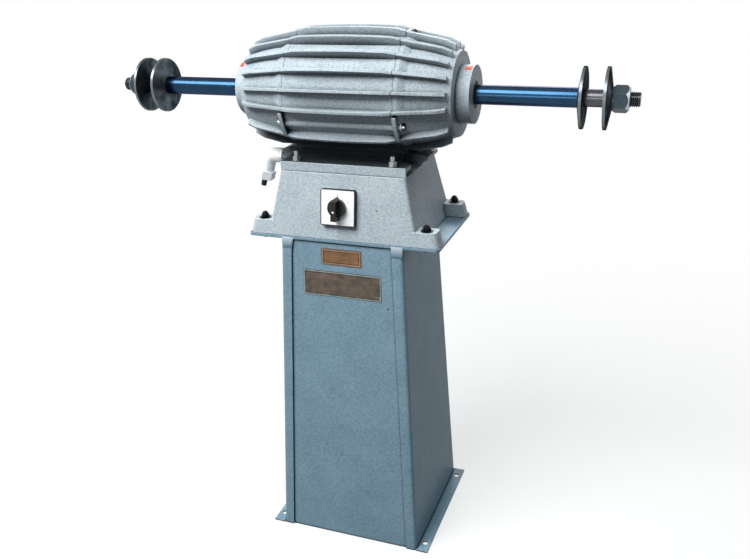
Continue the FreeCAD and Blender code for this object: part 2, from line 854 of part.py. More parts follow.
def saddle_and_foot(body):
    """The web under the barrel, its two tongues and the flanged foot."""
    deck = "-dims.axis_above_deck"
    foot_top = "(dims.foot_height - dims.axis_above_deck)"
    plate_bottom = f"({foot_top} - dims.foot_thickness)"
    shelf = "(-dims.frame_root_radius - dims.shelf_drop)"

    saddle = new_sketch(body, "XZ_Plane", "saddle_web")
    waist = "(dims.foot_waist_width / 2)"
    web_top = "-(dims.frame_root_radius + dims.shield_face_radius) / 2"
    outline(saddle, [
        (minus(waist), plate_bottom),
        (waist, plate_bottom),
        (SEAM, shelf),
        (SEAM, web_top),
        (minus(SEAM), web_top),
        (minus(SEAM), shelf),
    ])
    pad(body, saddle, "dims.saddle_depth", symmetric=True)

    tongue = new_sketch(body, "XZ_Plane", "saddle_tongues")
    reach = "dims.tongue_reach"
    tip = f"({foot_top} + dims.tongue_rise)"
    outline(tongue, [
        ("-dims.foot_width / 2", plate_bottom),
        ("dims.foot_width / 2", plate_bottom),
        (reach, tip),
        (reach, f"{shelf} - dims.tongue_bevel_drop"),
        (f"{reach} - dims.tongue_bevel_run", shelf),
        (f"-{reach} + dims.tongue_bevel_run", shelf),
        (f"-{reach}", f"{shelf} - dims.tongue_bevel_drop"),
        (f"-{reach}", tip),
    ])
    pad(body, tongue, "dims.tongue_depth", symmetric=True)

    boss = new_sketch(body, "YZ_Plane", "gland_boss", offset="-dims.gland_boss_start")
    gland_level = "(dims.gland_above_deck - dims.axis_above_deck)"
    circle(boss, "dims.gland_y", gland_level, "dims.gland_boss_radius")
    pad(body, boss, "dims.gland_boss_end - dims.gland_boss_start", backwards=True)

    foot = new_sketch(body, "XY_Plane", "foot_plate", offset=plate_bottom)
    x = "(dims.foot_width / 2)"
    y = "(dims.foot_depth / 2)"
    lug = f"({y} - dims.foot_lug_depth)"
    waist_y = "(dims.foot_waist_depth / 2)"
    outline(foot, [
        (f"-{x}", f"-{y}"), (x, f"-{y}"), (x, f"-{lug}"), (waist, f"-{waist_y}"),
        (waist, waist_y), (x, lug), (x, y), (f"-{x}", y),
        (f"-{x}", lug), (f"-{waist}", waist_y), (f"-{waist}", f"-{waist_y}"), (f"-{x}", f"-{lug}"),
    ])
    pad(body, foot, "dims.foot_thickness")

    skirts = new_sketch(body, "XY_Plane", "foot_skirts", offset=deck)
    seats = new_sketch(body, "XY_Plane", "stud_seats", offset=deck)
    holes = new_sketch(body, "XY_Plane", "stud_holes", offset=deck)
    for side in (-1, 1):
        outline(skirts, rectangle(
            f"-{x}", f"{side} * {y}", x, f"{side} * ({y} - dims.foot_skirt)"))
        for end in (-1, 1):
            place = (f"{end} * dims.stud_x", f"{side} * dims.stud_y")
            circle(seats, *place, "dims.foot_pad_radius")
            circle(holes, *place, "dims.stud_radius + dims.bolt_clearance")
    for sketch in (skirts, seats):
        pad(body, sketch, "dims.foot_height - dims.foot_thickness / 2")
    cut(body, holes, "dims.foot_height + dims.cut_margin", backwards=True)

    duct = new_sketch(body, "XY_Plane", "cable_duct", offset=deck)
    circle(duct, "0", "0", "dims.cable_duct_radius")
    cut(body, duct, "dims.axis_above_deck", backwards=True)
    inlet = new_sketch(body, "YZ_Plane", "cable_inlet")
    circle(inlet, "dims.gland_y", gland_level, "dims.gland_thread_radius + dims.press_gap")
    cut(body, inlet, "dims.gland_boss_end")


# ---------------------------------------------------------------- end shields

def end_shield(label, side):
    """A hollow finned end shield with the bearing housing; side is 1 or -1 along X."""
    turn = "0" if side > 0 else "180"
    body = new_body(label, at=("0", "0", SPINDLE_HEIGHT), turn=turn, axis=Vector(0, 0, 1))
    face = "dims.shield_face"
    seam_rim = f"({SEAM} + dims.rim_width)"
    spigot = f"{SEAM} - dims.spigot_length"
    shell = new_sketch(body, "XZ_Plane", f"{label}_shell")
    outline(shell, [
        (spigot, "0"),
        (spigot, "dims.frame_bore_radius - dims.spigot_gap"),
        (SEAM, "dims.frame_bore_radius - dims.spigot_gap"),
        (SEAM, "dims.frame_root_radius"),
        (seam_rim, "dims.frame_root_radius"),
        (f"{seam_rim} + dims.shield_root_run", "dims.shield_root_start",
         "dims.shield_curvature", "cw"),
        (face, "dims.shield_face_radius"),
        (face, "dims.neck_radius"),
        ("dims.neck_end", "dims.neck_radius"),
        ("dims.neck_end", "0"),
    ])
    turned(body, shell)
    fins(body, label)
    ears(body, label)
    shield_cavity(body, label, spigot)
    holes = new_sketch(body, "YZ_Plane", f"{label}_tie_holes", offset=SEAM)
    for y, z in tie_points():
        circle(holes, y, z, "dims.tie_rod_radius + dims.bolt_clearance / 2")
    cut(body, holes, "dims.rim_width", backwards=True)
    pockets = new_sketch(body, "YZ_Plane", f"{label}_nut_pockets", offset=seam_rim)
    for y, z in tie_points():
        circle(pockets, y, z, "dims.tie_pocket_radius")
    cut(body, pockets, "dims.tie_rod_overhang - dims.rim_width + dims.cut_margin", backwards=True)


def shield_cavity(body, label, mouth):
    """The hollow for the winding, the bearing's bore and shoulder, and the seal's seat."""
    inner_face = "(dims.shield_face - dims.shield_wall)"
    hub_end = f"{inner_face} - dims.hub_boss_length"
    bore = "dims.bearing_outer_radius + dims.press_gap"
    ring_wall = "dims.bearing_outer_radius - dims.outer_ring_wall"
    bearing_end = "dims.bearing_start + dims.bearing_width"
    relief_end = f"{bearing_end} + dims.bearing_relief"
    seal_seat = "dims.neck_end - dims.seal_depth"
    cavity = new_sketch(body, "XZ_Plane", f"{label}_cavity")
    outline(cavity, [
        (mouth, "0"),
        ("dims.neck_end", "0"),
        ("dims.neck_end", "dims.seal_radius"),
        (seal_seat, "dims.seal_radius"),
        (seal_seat, "dims.shield_lip_radius"),
        (relief_end, "dims.shield_lip_radius"),
        (relief_end, ring_wall),
        (bearing_end, ring_wall),
        (bearing_end, bore),
        (hub_end, bore),
        (hub_end, "dims.hub_boss_radius"),
        (inner_face, "dims.hub_boss_radius"),
        (inner_face, "dims.shield_face_radius - dims.shield_wall"),
        (f"{SEAM} + dims.rim_width + dims.shield_root_run",
         "dims.shield_root_start - dims.shield_wall"),
        (mouth, "dims.frame_bore_radius - dims.spigot_wall"),
    ])
    turned(body, cavity, "Groove")


def fins(body, label):
    """Fins on a shield, then the turned crest that trims them."""
    length = f"(dims.shield_fin_end - {SEAM})"
    fin_rows(body, f"{label}_fins", "dims.shield_crest_radius + dims.cut_margin",
             "dims.shield_low_crest_radius", length, start=SEAM)
    crest = new_sketch(body, "XZ_Plane", f"{label}_crest")
    above = "(dims.shield_crest_radius + 3 * dims.cut_margin)"
    outline(crest, [
        (SEAM, "dims.shield_crest_radius"),
        ("dims.shield_crest_knee", "dims.shield_crest_knee_radius"),
        ("dims.shield_fin_end", "dims.shield_fin_end_radius"),
        ("dims.shield_fin_end + dims.cut_margin", above),
        (SEAM, above),
    ])
    turned(body, crest, "Groove")


def ears(body, label):
    """Thick lugs on the rim that carry the tie rods."""
    places = (("top", "0"), ("front", "90 + dims.tie_side_angle"),
              ("rear", "-90 - dims.tie_side_angle"))
    angle = "dims.ear_half_angle"
    for name, turn in places:
        lug = new_sketch(body, "YZ_Plane", f"{label}_{name}_ear", offset=SEAM, turn=turn)
        half = angle if name != "top" else "(dims.fin_pitch / 2)"
        root = ROOT_INSIDE
        crest = "dims.ear_radius"
        outline(lug, [
            (f"-{root} * sin({half})", f"{root} * cos({half})", root, "cw"),
            (f"{root} * sin({half})", f"{root} * cos({half})"),
            (f"{crest} * sin({half})", f"{crest} * cos({half})", crest, "ccw"),
            (f"-{crest} * sin({half})", f"{crest} * cos({half})"),
        ])
        pad(body, lug, "dims.rim_width")


# ---------------------------------------------------------------- tie rods

def motor_body(label):
    """A body whose X axis is the spindle's."""
    return new_body(label, at=("0", "0", SPINDLE_HEIGHT))


def tie_fasteners():
    rods = motor_body("tie_rods")
    sketch = new_sketch(rods, "YZ_Plane", "tie_rod_ends")
    for y, z in tie_points():
        circle(sketch, y, z, "dims.tie_rod_radius")
    pad(rods, sketch, f"2 * ({SEAM} + dims.tie_rod_overhang)", symmetric=True)

    seat = f"({SEAM} + dims.rim_width)"
    nuts = motor_body("tie_nuts")
    sketch = new_sketch(nuts, "YZ_Plane", "tie_nut_hexes", offset=seat)
    for y, z in tie_points():
        hexagon(sketch, y, z, "dims.tie_nut")
        circle(sketch, y, z, "dims.tie_rod_radius + dims.running_gap")
    hexes = pad(nuts, sketch, "dims.tie_nut_height")
    mirrored(nuts, [hexes], ["YZ_Plane"])


# ---------------------------------------------------------------- bearings and seals

def side_ring(label, side, section):
    """A turned ring on the spindle's axis; section is its (X, radius) outline at +X."""
    body = motor_body(label)
    sketch = new_sketch(body, "XZ_Plane", f"{label}_section")
    outline(sketch, [(f"{side} * ({x})", radius) for x, radius in section])
    turned(body, sketch)
    return body


def bearing(name, side):
    start = "dims.bearing_start"
    end = "dims.bearing_start + dims.bearing_width"
    outer = "dims.bearing_outer_radius"
    inner = "dims.bearing_inner_radius"
    side_ring(f"{name}_bearing_outer_ring", side, rectangle(
        start, f"{outer} - dims.outer_ring_wall", end, outer))
    side_ring(f"{name}_bearing_inner_ring", side, rectangle(
        start, f"{inner} + dims.press_gap", end, f"{inner} + dims.inner_ring_wall"))
    shields = motor_body(f"{name}_bearing_shields")
    sketch = new_sketch(shields, "XZ_Plane", f"{name}_shield_sections")
    inset = "dims.bearing_shield_inset"
    thickness = "dims.bearing_shield_thickness"
    for near in (f"{start} + {inset}", f"{end} - {inset} - {thickness}"):
        outline(sketch, [(f"{side} * ({x})", radius) for x, radius in rectangle(
            near, f"{inner} + dims.inner_ring_wall + dims.lip_gap",
            f"{near} + {thickness}", f"{outer} - dims.outer_ring_wall")])
    turned(shields, sketch)


def shaft_seal(name, side):
    gap = "dims.press_gap"
    side_ring(f"{name}_shaft_seal", side, rectangle(
        f"dims.neck_end - dims.seal_depth + {gap}", "dims.spindle_radius + dims.lip_gap",
        "dims.neck_end", f"dims.seal_radius - {gap}"))


# ---------------------------------------------------------------- stator and rotor

def stator():
    core = motor_body("stator_core")
    sketch = new_sketch(core, "YZ_Plane", "core_ring")
    circle(sketch, "0", "0", "dims.frame_bore_radius - dims.press_gap")
    circle(sketch, "0", "0", STATOR_BORE)
    pad(core, sketch, "dims.core_length", symmetric=True)
    slot = new_sketch(core, "YZ_Plane", "core_slot")
    outline(slot, rectangle(
        "-dims.slot_width / 2", f"{STATOR_BORE} - dims.air_gap",
        "dims.slot_width / 2", f"{STATOR_BORE} + dims.slot_depth"))
    ring_of(core, cut(core, slot), "dims.slot_count")

    winding = motor_body("stator_winding")
    ends = new_sketch(winding, "XZ_Plane", "end_turns")
    start = "(dims.core_length / 2 + dims.end_turn_gap)"
    reach = "dims.end_turn_reach"
    corner = "dims.end_turn_corner"
    inner = f"({STATOR_BORE} + dims.end_turn_step)"
    outer = "(dims.frame_bore_radius - dims.end_turn_margin)"
    outline(ends, [
        (start, inner),
        (f"{reach} - {corner}", inner),
        (reach, f"{inner} + {corner}"),
        (reach, f"{outer} - {corner}"),
        (f"{reach} - {corner}", outer),
        (start, outer),
    ])
    turned(winding, ends)
    mirrored(winding, [winding.Tip], ["YZ_Plane"])
    coil = new_sketch(winding, "YZ_Plane", "coil_side")
    half = "(dims.slot_width / 2 - dims.slot_gap)"
    outline(coil, rectangle(
        f"-{half}", f"{inner} + dims.slot_gap", half,
        f"{STATOR_BORE} + dims.slot_depth - dims.slot_gap"))
    bar = pad(winding, coil, "dims.core_length + 2 * (dims.end_turn_gap + dims.coil_overlap)",
              symmetric=True)
    ring_of(winding, bar, "dims.slot_count")


def rotor():
    radius = f"({STATOR_BORE} - dims.air_gap)"
    core = motor_body("rotor_core")
    sketch = new_sketch(core, "YZ_Plane", "rotor_ring")
    circle(sketch, "0", "0", radius)
    circle(sketch, "0", "0", "dims.core_seat_radius + dims.press_gap")
    pad(core, sketch, "dims.core_length", symmetric=True)

    cage = motor_body("rotor_end_rings")
    end_ring = new_sketch(cage, "XZ_Plane", "cage_end_ring")
    outline(end_ring, rectangle(
        "dims.core_length / 2", "dims.end_ring_inner_radius",
        "dims.core_length / 2 + dims.end_ring_width", f"{radius} - dims.end_ring_step"))
    turned(cage, end_ring)
    mirrored(cage, [cage.Tip], ["YZ_Plane"])


# ---------------------------------------------------------------- spindle, flanges and nuts

OUTER_CLAMP = "(dims.flange_seat + dims.flange_hub + dims.wheel_gap)"
NUT_SEAT = f"({OUTER_CLAMP} + dims.flange_hub)"


def spindle():
    """One shaft through the motor, with a threaded end and flange seat each side."""
    body = motor_body("spindle")
    sketch = new_sketch(body, "XZ_Plane", "spindle_section")
    thread_start = f"({NUT_SEAT} - dims.thread_relief)"
    steps = [
        ("dims.core_seat_length / 2", "dims.core_seat_radius"),
        ("dims.bearing_start", "dims.inner_shaft_radius"),
        ("dims.bearing_start + dims.bearing_width", "dims.bearing_inner_radius"),
        ("dims.flange_seat", "dims.spindle_radius"),
        (thread_start, "dims.flange_seat_radius"),
        ("dims.spindle_end - dims.spindle_chamfer", "dims.thread_radius"),
    ]
    half = []
    previous = None
    for end, radius in steps:
        if previous:
            half.append((previous, radius))
        half.append((end, radius))
        previous = end
    half.append(("dims.spindle_end", "dims.thread_radius - dims.spindle_chamfer"))
    half.append(("dims.spindle_end", "0"))
    other_half = [(minus(x), radius) for x, radius in reversed(half)]
    outline(sketch, other_half + half)
    turned(body, sketch)


def wheel_flange(label, side, clamp, outwards):
    """A clamping flange: flat face at the wheel, coned back, boss at the hub."""
    bore = "dims.flange_seat_radius + dims.running_gap"
    back = f"{clamp} {'+' if outwards else '-'} dims.flange_hub"
    rim = f"{clamp} {'+' if outwards else '-'} dims.flange_rim"
    side_ring(label, side, [
        (clamp, bore),
        (clamp, "dims.flange_radius"),
        (rim, "dims.flange_radius"),
        (back, "dims.flange_hub_radius"),
        (back, bore),
    ])


def spindle_nut(label, side):
    body = motor_body(label)
    place = NUT_SEAT if side > 0 else f"({NUT_SEAT} + dims.nut_length)"
    sketch = new_sketch(body, "YZ_Plane", f"{label}_hexagon", offset=f"{side} * {place}")
    hexagon(sketch, "0", "0", "dims.nut_across_flats", flats="upright")
    circle(sketch, "0", "0", "dims.thread_radius + dims.running_gap")
    pad(body, sketch, "dims.nut_length")
    flat = "dims.nut_across_flats / 2"
    point = f"({flat} / cos(30) + dims.cut_margin)"
    for name, end, inward in (("near", NUT_SEAT, 1), ("far", f"({NUT_SEAT} + dims.nut_length)", -1)):
        chamfer = new_sketch(body, "XZ_Plane", f"{label}_{name}_chamfer")
        outline(chamfer, [
            (f"{side} * {end}", f"{flat} - dims.nut_face_inset"),
            (f"{side} * ({end} + {inward} * dims.nut_chamfer)", point),
            (f"{side} * {end}", point),
        ])
        turned(body, chamfer, "Groove")


# ---------------------------------------------------------------- switch

NECK = f"(dims.hopper_wall * cos({FACE_TILT}))"
DIAL_SEAT = "(dims.bezel_thickness - dims.dial_thickness)"


def switch_body(label):
    """A body on the hopper's front face whose Z axis points out of the face."""
    return new_body(label, at=SWITCH_AT, turn=SWITCH_TURN)


def switch():
    bezel = switch_body("switch_bezel")
    sketch = new_sketch(bezel, "XY_Plane", "bezel_outline")
    size = "dims.bezel_size"
    outline(sketch, rounded(size, size, "dims.bezel_corner_radius"))
    circle(sketch, "0", "0", "dims.dial_hole_radius")
    pad(bezel, sketch, "dims.bezel_thickness")
    recess = new_sketch(bezel, "XY_Plane", "dial_recess", offset="dims.bezel_thickness")
    recess_size = "dims.dial_size + 2 * dims.dial_gap"
    outline(recess, rounded(recess_size, recess_size, "dims.dial_corner_radius"))
    cut(bezel, recess, "dims.dial_thickness")

    dial = switch_body("switch_dial")
    sketch = new_sketch(dial, "XY_Plane", "dial_outline", offset=DIAL_SEAT)
    outline(sketch, rounded("dims.dial_size", "dims.dial_size", "dims.dial_corner_radius"))
    circle(sketch, "0", "0", "dims.dial_hole_radius")
    pad(dial, sketch, "dims.dial_thickness")

    block = switch_body("switch_block")
    sketch = new_sketch(block, "XY_Plane", "block_outline", offset=minus(NECK))
    outline(sketch, centred("dims.switch_block_size", "dims.switch_block_size"))
    pad(block, sketch, "dims.switch_block_depth", backwards=True)
    neck = new_sketch(block, "XY_Plane", "block_neck", offset=minus(NECK))
    circle(neck, "0", "0", "dims.switch_neck_radius")
    pad(block, neck, NECK)
    bore = new_sketch(block, "XY_Plane", "block_bore")
    circle(bore, "0", "0", "dims.knob_shaft_radius + dims.running_gap")
    cut(block, bore, f"{NECK} + dims.knob_shaft_depth + dims.cut_margin")


def knob():
    base = "(dims.bezel_thickness + dims.knob_gap)"
    body = switch_body("switch_knob")
    disc = new_sketch(body, "XY_Plane", "knob_disc", offset=base)
    circle(disc, "0", "0", "dims.knob_radius")
    pad(body, disc, "dims.knob_base_height")
    grip = new_sketch(body, "XY_Plane", "knob_grip", offset=base)
    half = "(dims.grip_width / 2)"
    outline(grip, [
        (minus(half), "-dims.grip_tail"),
        (half, "-dims.grip_tail"),
        (half, "dims.grip_nose"),
        ("0", "dims.pointer_reach"),
        (minus(half), "dims.grip_nose"),
    ])
    pad(body, grip, "dims.grip_height")
    slope = new_sketch(body, "YZ_Plane", "knob_pointer_slope")
    above = f"({base} + dims.grip_height + dims.cut_margin)"
    outline(slope, [
        ("dims.grip_nose", f"{base} + dims.grip_height"),
        ("dims.pointer_reach", f"{base} + dims.pointer_height"),
        ("dims.pointer_reach", above),
        ("dims.grip_nose", above),
    ])
    cut(body, slope, "dims.grip_width", symmetric=True)
    bore = new_sketch(body, "XY_Plane", "knob_bore", offset=base)
    circle(bore, "0", "0", "dims.knob_shaft_radius + dims.press_gap")
    cut(body, bore, "dims.grip_height / 2", backwards=True)
    grip_top = value(f"{base} + dims.grip_height")
    fillet(body, "dims.grip_edge_radius", lambda edge: edge.BoundBox.ZMin > grip_top - 1e-3)

    shaft = switch_body("switch_shaft")
    depth = f"({NECK} + dims.knob_shaft_depth)"
    sketch = new_sketch(shaft, "XY_Plane", "shaft_section", offset=f"-{depth}")
    circle(sketch, "0", "0", "dims.knob_shaft_radius")
    pad(shaft, sketch, f"{depth} + {base} + dims.grip_height / 2")


# ---------------------------------------------------------------- cable gland

GLAND_AT = ("-dims.gland_boss_end", "dims.gland_y", f"({DECK} + dims.gland_above_deck)")


def gland_points():
    """The elbow's centre line (X, Z) from its locknut: straight, bend, straight."""
    tilt = "dims.gland_tilt * 1 deg"
    straight = "(dims.gland_locknut_width + dims.gland_elbow_straight)"
    bend_end = (f"(-{straight} - dims.gland_bend_radius * cos({tilt}))",
                f"(-dims.gland_bend_radius * (1 - sin({tilt})))")
    drop_end = (f"({bend_end[0]} - dims.gland_drop * sin({tilt}))",
                f"({bend_end[1]} - dims.gland_drop * cos({tilt}))")
    return [("-dims.gland_locknut_width", "0"), (f"-{straight}", "0"), bend_end, drop_end]


def gland():
    """An elbow gland on the left tongue of the motor's saddle, pointing down."""
    thread = "dims.gland_thread_radius"
    stub_length = "(dims.gland_nut_height - dims.gland_nut_floor)"
    points = gland_points()
    drop_x, drop_z = points[-1]

    elbow = new_body("gland_elbow", at=GLAND_AT)
    entry = new_sketch(elbow, "YZ_Plane", "elbow_entry", offset=points[0][0])
    circle(entry, "0", "0", "dims.gland_elbow_radius")
    path = new_sketch(elbow, "XZ_Plane", "elbow_path")
    places = [Vector(value(x), value(z)) for x, z in points]
    bend = value("dims.gland_bend_radius")
    run = path.addGeometry(Part.LineSegment(places[0], places[1]))
    turn = path.addGeometry(arc_between(places[1], places[2], bend, clockwise=False))
    fall = path.addGeometry(Part.LineSegment(places[2], places[3]))
    for geometry, first, last in ((run, 0, 1), (fall, 2, 3)):
        pin(path, geometry, 1, *points[first])
        pin(path, geometry, 2, *points[last])
    path.addConstraint(Sketcher.Constraint("Coincident", run, 2, turn, 1))
    path.addConstraint(Sketcher.Constraint("Coincident", turn, 2, fall, 1))
    drive(path, Sketcher.Constraint("Radius", turn, bend), "dims.gland_bend_radius")
    doc.recompute()
    tube = add_feature(elbow, "AdditivePipe", "elbow_tube")
    tube.Profile = entry
    tube.Spine = (path, [])
    doc.recompute()
    spigot = new_sketch(elbow, "YZ_Plane", "elbow_spigot", offset=points[0][0])
    circle(spigot, "0", "0", thread)
    pad(elbow, spigot, "dims.gland_locknut_width + dims.gland_spigot")
    stub = new_sketch(elbow, "XY_Plane", "elbow_stub", offset=drop_z, shift=drop_x,
                      turn="dims.gland_tilt", turn_axis=Vector(0, 1, 0))
    circle(stub, "0", "0", "dims.gland_stub_radius")
    pad(elbow, stub, stub_length, backwards=True)

    locknut = new_body("gland_locknut", at=GLAND_AT)
    sketch = new_sketch(locknut, "YZ_Plane", "locknut_hexagon", offset=points[0][0])
    hexagon(sketch, "0", "0", "dims.gland_locknut")
    circle(sketch, "0", "0", f"{thread} + dims.running_gap")
    pad(locknut, sketch, "dims.gland_locknut_width")

    drop_at = (f"{GLAND_AT[0]} + {drop_x}", GLAND_AT[1], f"{GLAND_AT[2]} + {drop_z}")
    nut = new_body("gland_dome_nut", at=drop_at, turn="dims.gland_tilt", axis=Vector(0, 1, 0))
    sketch = new_sketch(nut, "XY_Plane", "gland_nut_hexagon")
    hexagon(sketch, "0", "0", "dims.gland_nut", flats="upright")
    pad(nut, sketch, "dims.gland_nut_height", backwards=True)
    hollow = new_sketch(nut, "XY_Plane", "gland_nut_thread")
    circle(hollow, "0", "0", "dims.gland_stub_radius + dims.running_gap")
    cut(nut, hollow, f"{stub_length} + dims.running_gap")
    mouth = new_sketch(nut, "XY_Plane", "gland_nut_mouth")
    circle(mouth, "0", "0", "dims.gland_bush_radius + dims.press_gap")
    cut(nut, mouth)

    bush = new_body("gland_bush", at=drop_at, turn="dims.gland_tilt", axis=Vector(0, 1, 0))
    sketch = new_sketch(bush, "XY_Plane", "bush_ring", offset=f"-({stub_length} + dims.running_gap)")
    circle(sketch, "0", "0", "dims.gland_bush_radius")
    circle(sketch, "0", "0", "dims.gland_bush_bore_radius")
    pad(bush, sketch, "dims.gland_bush_length", backwards=True)


# ---------------------------------------------------------------- label plates

def label_plate(label, width, height, level):
    """A bare plate on the front panel."""
    tilt = ("atan((dims.pedestal_base_depth - dims.pedestal_top_depth) / 2"
            " / dims.pedestal_height)")
    face = f"-({pedestal_half('depth', level)} - dims.sheet_thickness)"
    body = new_body(label, at=("0", face, level), turn=f"90 deg - {tilt}")
    sketch = new_sketch(body, "XY_Plane", f"{label}_outline")
    outline(sketch, rounded(width, height, "dims.label_corner_radius"))
    pad(body, sketch, "dims.label_thickness")


# ---------------------------------------------------------------- build

def build():
    fill_sheet()
    side_sheet("left_side_sheet", -1)
    side_sheet("right_side_sheet", 1)
    end_panel("front_panel", -1)
    end_panel("back_panel", 1)
    top_plate()
    hopper()
    hopper_fasteners()
    foot_fasteners()
    stator_frame()
    tie_fasteners()
    stator()
    rotor()
    spindle()
    for name, side in (("left", -1), ("right", 1)):
        end_shield(f"{name}_end_shield", side)
        bearing(name, side)
        shaft_seal(name, side)
        wheel_flange(f"{name}_inner_flange", side, "(dims.flange_seat + dims.flange_hub)", False)
        wheel_flange(f"{name}_outer_flange", side, OUTER_CLAMP, True)
        spindle_nut(f"{name}_spindle_nut", side)
    switch()
    knob()
    gland()
    label_plate("large_label_plate", "dims.large_label_width", "dims.large_label_height",
                "dims.pedestal_height - dims.large_label_drop")
    label_plate("small_label_plate", "dims.small_label_width", "dims.small_label_height",
                "dims.pedestal_height - dims.small_label_drop")


def check():
    doc.recompute()
    for item in doc.Objects:
        if "Invalid" in item.State or "Error" in item.State:
            raise ValueError(f"{item.Label} failed: {item.State}")
    for piece in PIECES:
        if piece.Shape.isNull() or not piece.Shape.isValid():
            raise ValueError(f"{piece.Label} has no valid shape")


def export():
    os.makedirs("parts", exist_ok=True)
    for piece in PIECES:
        piece.Shape.exportStep(f"parts/{piece.Label}.step")


build()
check()
export()
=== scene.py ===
import math

import bmesh
import bpy
from mathutils import Matrix, Vector


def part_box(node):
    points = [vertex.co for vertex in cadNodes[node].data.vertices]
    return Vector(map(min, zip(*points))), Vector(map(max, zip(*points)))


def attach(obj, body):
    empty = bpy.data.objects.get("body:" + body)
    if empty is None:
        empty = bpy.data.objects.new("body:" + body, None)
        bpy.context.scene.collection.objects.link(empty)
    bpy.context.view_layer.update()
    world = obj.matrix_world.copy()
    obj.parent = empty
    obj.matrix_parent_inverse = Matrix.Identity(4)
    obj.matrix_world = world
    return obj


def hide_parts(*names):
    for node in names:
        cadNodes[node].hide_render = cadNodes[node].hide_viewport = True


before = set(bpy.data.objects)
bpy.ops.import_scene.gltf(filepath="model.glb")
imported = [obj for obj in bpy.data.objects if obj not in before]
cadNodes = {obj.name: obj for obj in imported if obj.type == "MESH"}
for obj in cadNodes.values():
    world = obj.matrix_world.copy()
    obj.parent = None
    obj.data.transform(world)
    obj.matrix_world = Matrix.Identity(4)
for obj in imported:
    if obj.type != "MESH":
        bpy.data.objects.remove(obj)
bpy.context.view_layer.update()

scene = bpy.context.scene
mm = 0.001
spindleAxis = Vector((0, 0, 0.85))
print("frame loaded:", len(cadNodes), "parts")


# camera: a standing person's view from the front right
cameraLook = {
    "place": (0.54462, -1.35266, 1.10000),
    "right": (0.93708546, 0.34750374, -0.03334657),
    "up": (-0.10459747, 0.37061913, 0.92287639),
    "back": (0.33306188, -0.86132608, 0.3836498),
    "lens": 39.89, "sensor": 36,
}
cameraData = bpy.data.cameras.new("camera")
cameraData.lens = cameraLook["lens"]
cameraData.sensor_width = cameraLook["sensor"]
camera = bpy.data.objects.new("camera", cameraData)
turn = Matrix((cameraLook["right"], cameraLook["up"], cameraLook["back"])).transposed()
camera.matrix_world = Matrix.Translation(cameraLook["place"]) @ turn.to_4x4()
scene.collection.objects.link(camera)
scene.camera = camera
scene.view_settings.view_transform = "Standard"


def linearColour(code):
    # a screen colour such as #8899aa as the linear numbers that a shader takes
    parts = [int(code[i:i + 2], 16) / 255 for i in (1, 3, 5)]
    return [c / 12.92 if c <= 0.04045 else ((c + 0.055) / 1.055) ** 2.4 for c in parts] + [1]


def addNode(tree, kind, settings=None, links=None):
    # one shader node: lower-case settings are its own options, the rest are its inputs
    node = tree.nodes.new(kind)
    for name, setting in (settings or {}).items():
        if isinstance(setting, str) and setting.startswith("#"):
            setting = linearColour(setting)
        if isinstance(name, str) and name[0].islower():
            setattr(node, name, setting)
        else:
            node.inputs[name].default_value = setting
    for name, source in (links or {}).items():
        output = source if hasattr(source, "is_linked") else source.outputs[0]
        tree.links.new(output, node.inputs[name])
    return node


def startMaterial(name):
    material = bpy.data.materials.new(name)
    material.use_nodes = True
    material.node_tree.nodes.clear()
    place = addNode(material.node_tree, "ShaderNodeTexCoord")
    return material, material.node_tree, place.outputs["Object"]


def finishMaterial(tree, settings, links):
    shader = addNode(tree, "ShaderNodeBsdfPrincipled", settings, links)
    addNode(tree, "ShaderNodeOutputMaterial", links={"Surface": shader})


def perMetre(size):
    return 1 / (size * mm)  # how many of a pattern this large, in mm, fit in a metre


print("materials")

# how far the roughness falls and rises about its middle on each kind of surface
sheenSpread = {"enamel": (-0.06, 0.14), "steel": (-0.08, 0.10), "spindle": (-0.04, 0.06),
               "flange": (-0.08, 0.12), "moulded": (-0.05, 0.08)}
waveTurn = 6.3  # a wave texture repeats about this many times in its own scale

# Hammer-finish enamel sprayed on iron castings: an aluminium-filled film that shrinks into small
# round dimples with darker veins between, with a painted highlight on every cast edge and painted
# shade in the corners. Sizes are in mm; the dimples are real size and show as a fine mottle.
silverEnamel = {
    "film": "#cbd6dc", "vein": "#8c9aa3", "edge": "#eef3f5", "shadeAndSeam": "#151b1f",
    "dimple": 3.2, "dimpleDepth": 0.30, "dimpleHeight": 0.5,
    "veinFrom": 0.25, "veinTo": 0.75, "veinShare": 0.34,
    "grain": 1.5, "grainDepth": 0.30, "grainHeight": 0.3, "grainShare": 0.30,
    "ripple": 26, "rippleDepth": 0.35, "rippleHeight": 1.2,
    "drift": 55, "driftShare": 0.45,
    # painted highlight along the edges: how round, how pale, and over which bend
    "edgeRound": 1.4, "edgeHighlightShare": 0.85, "edgeHighlightFrom": 0.97, "edgeHighlightTo": 0.75,
    # painted shade in closed-in corners: how far it reaches, how dark, and over which openness
    "paintedShadeReach": 24, "paintedShadeShare": 0.45, "paintedShadeFrom": 0.8, "paintedShadeTo": 0.2,
    "onlyOwnCorners": True, "roughness": 0.36, "ior": 1.52, "specular": 0.07,
}
# On the motor the same film has the joints of barrel and end shields as dark hairlines, and deeper
# painted shade between barrel, saddle and foot, darker still lower down.
motorEnamel = silverEnamel | {
    "seam": 98, "seamAbove": 757, "seamWidth": 0.3, "seamFade": 0.7, "seamShare": 0.75,
    "lowShadeTop": 795, "lowShadeBottom": 765, "lowShadeShare": 0.22,
    "paintedShadeReach": 80, "paintedShadeShare": 0.97, "paintedShadeFrom": 0.60, "paintedShadeTo": 0.38,
    "onlyOwnCorners": False,
}
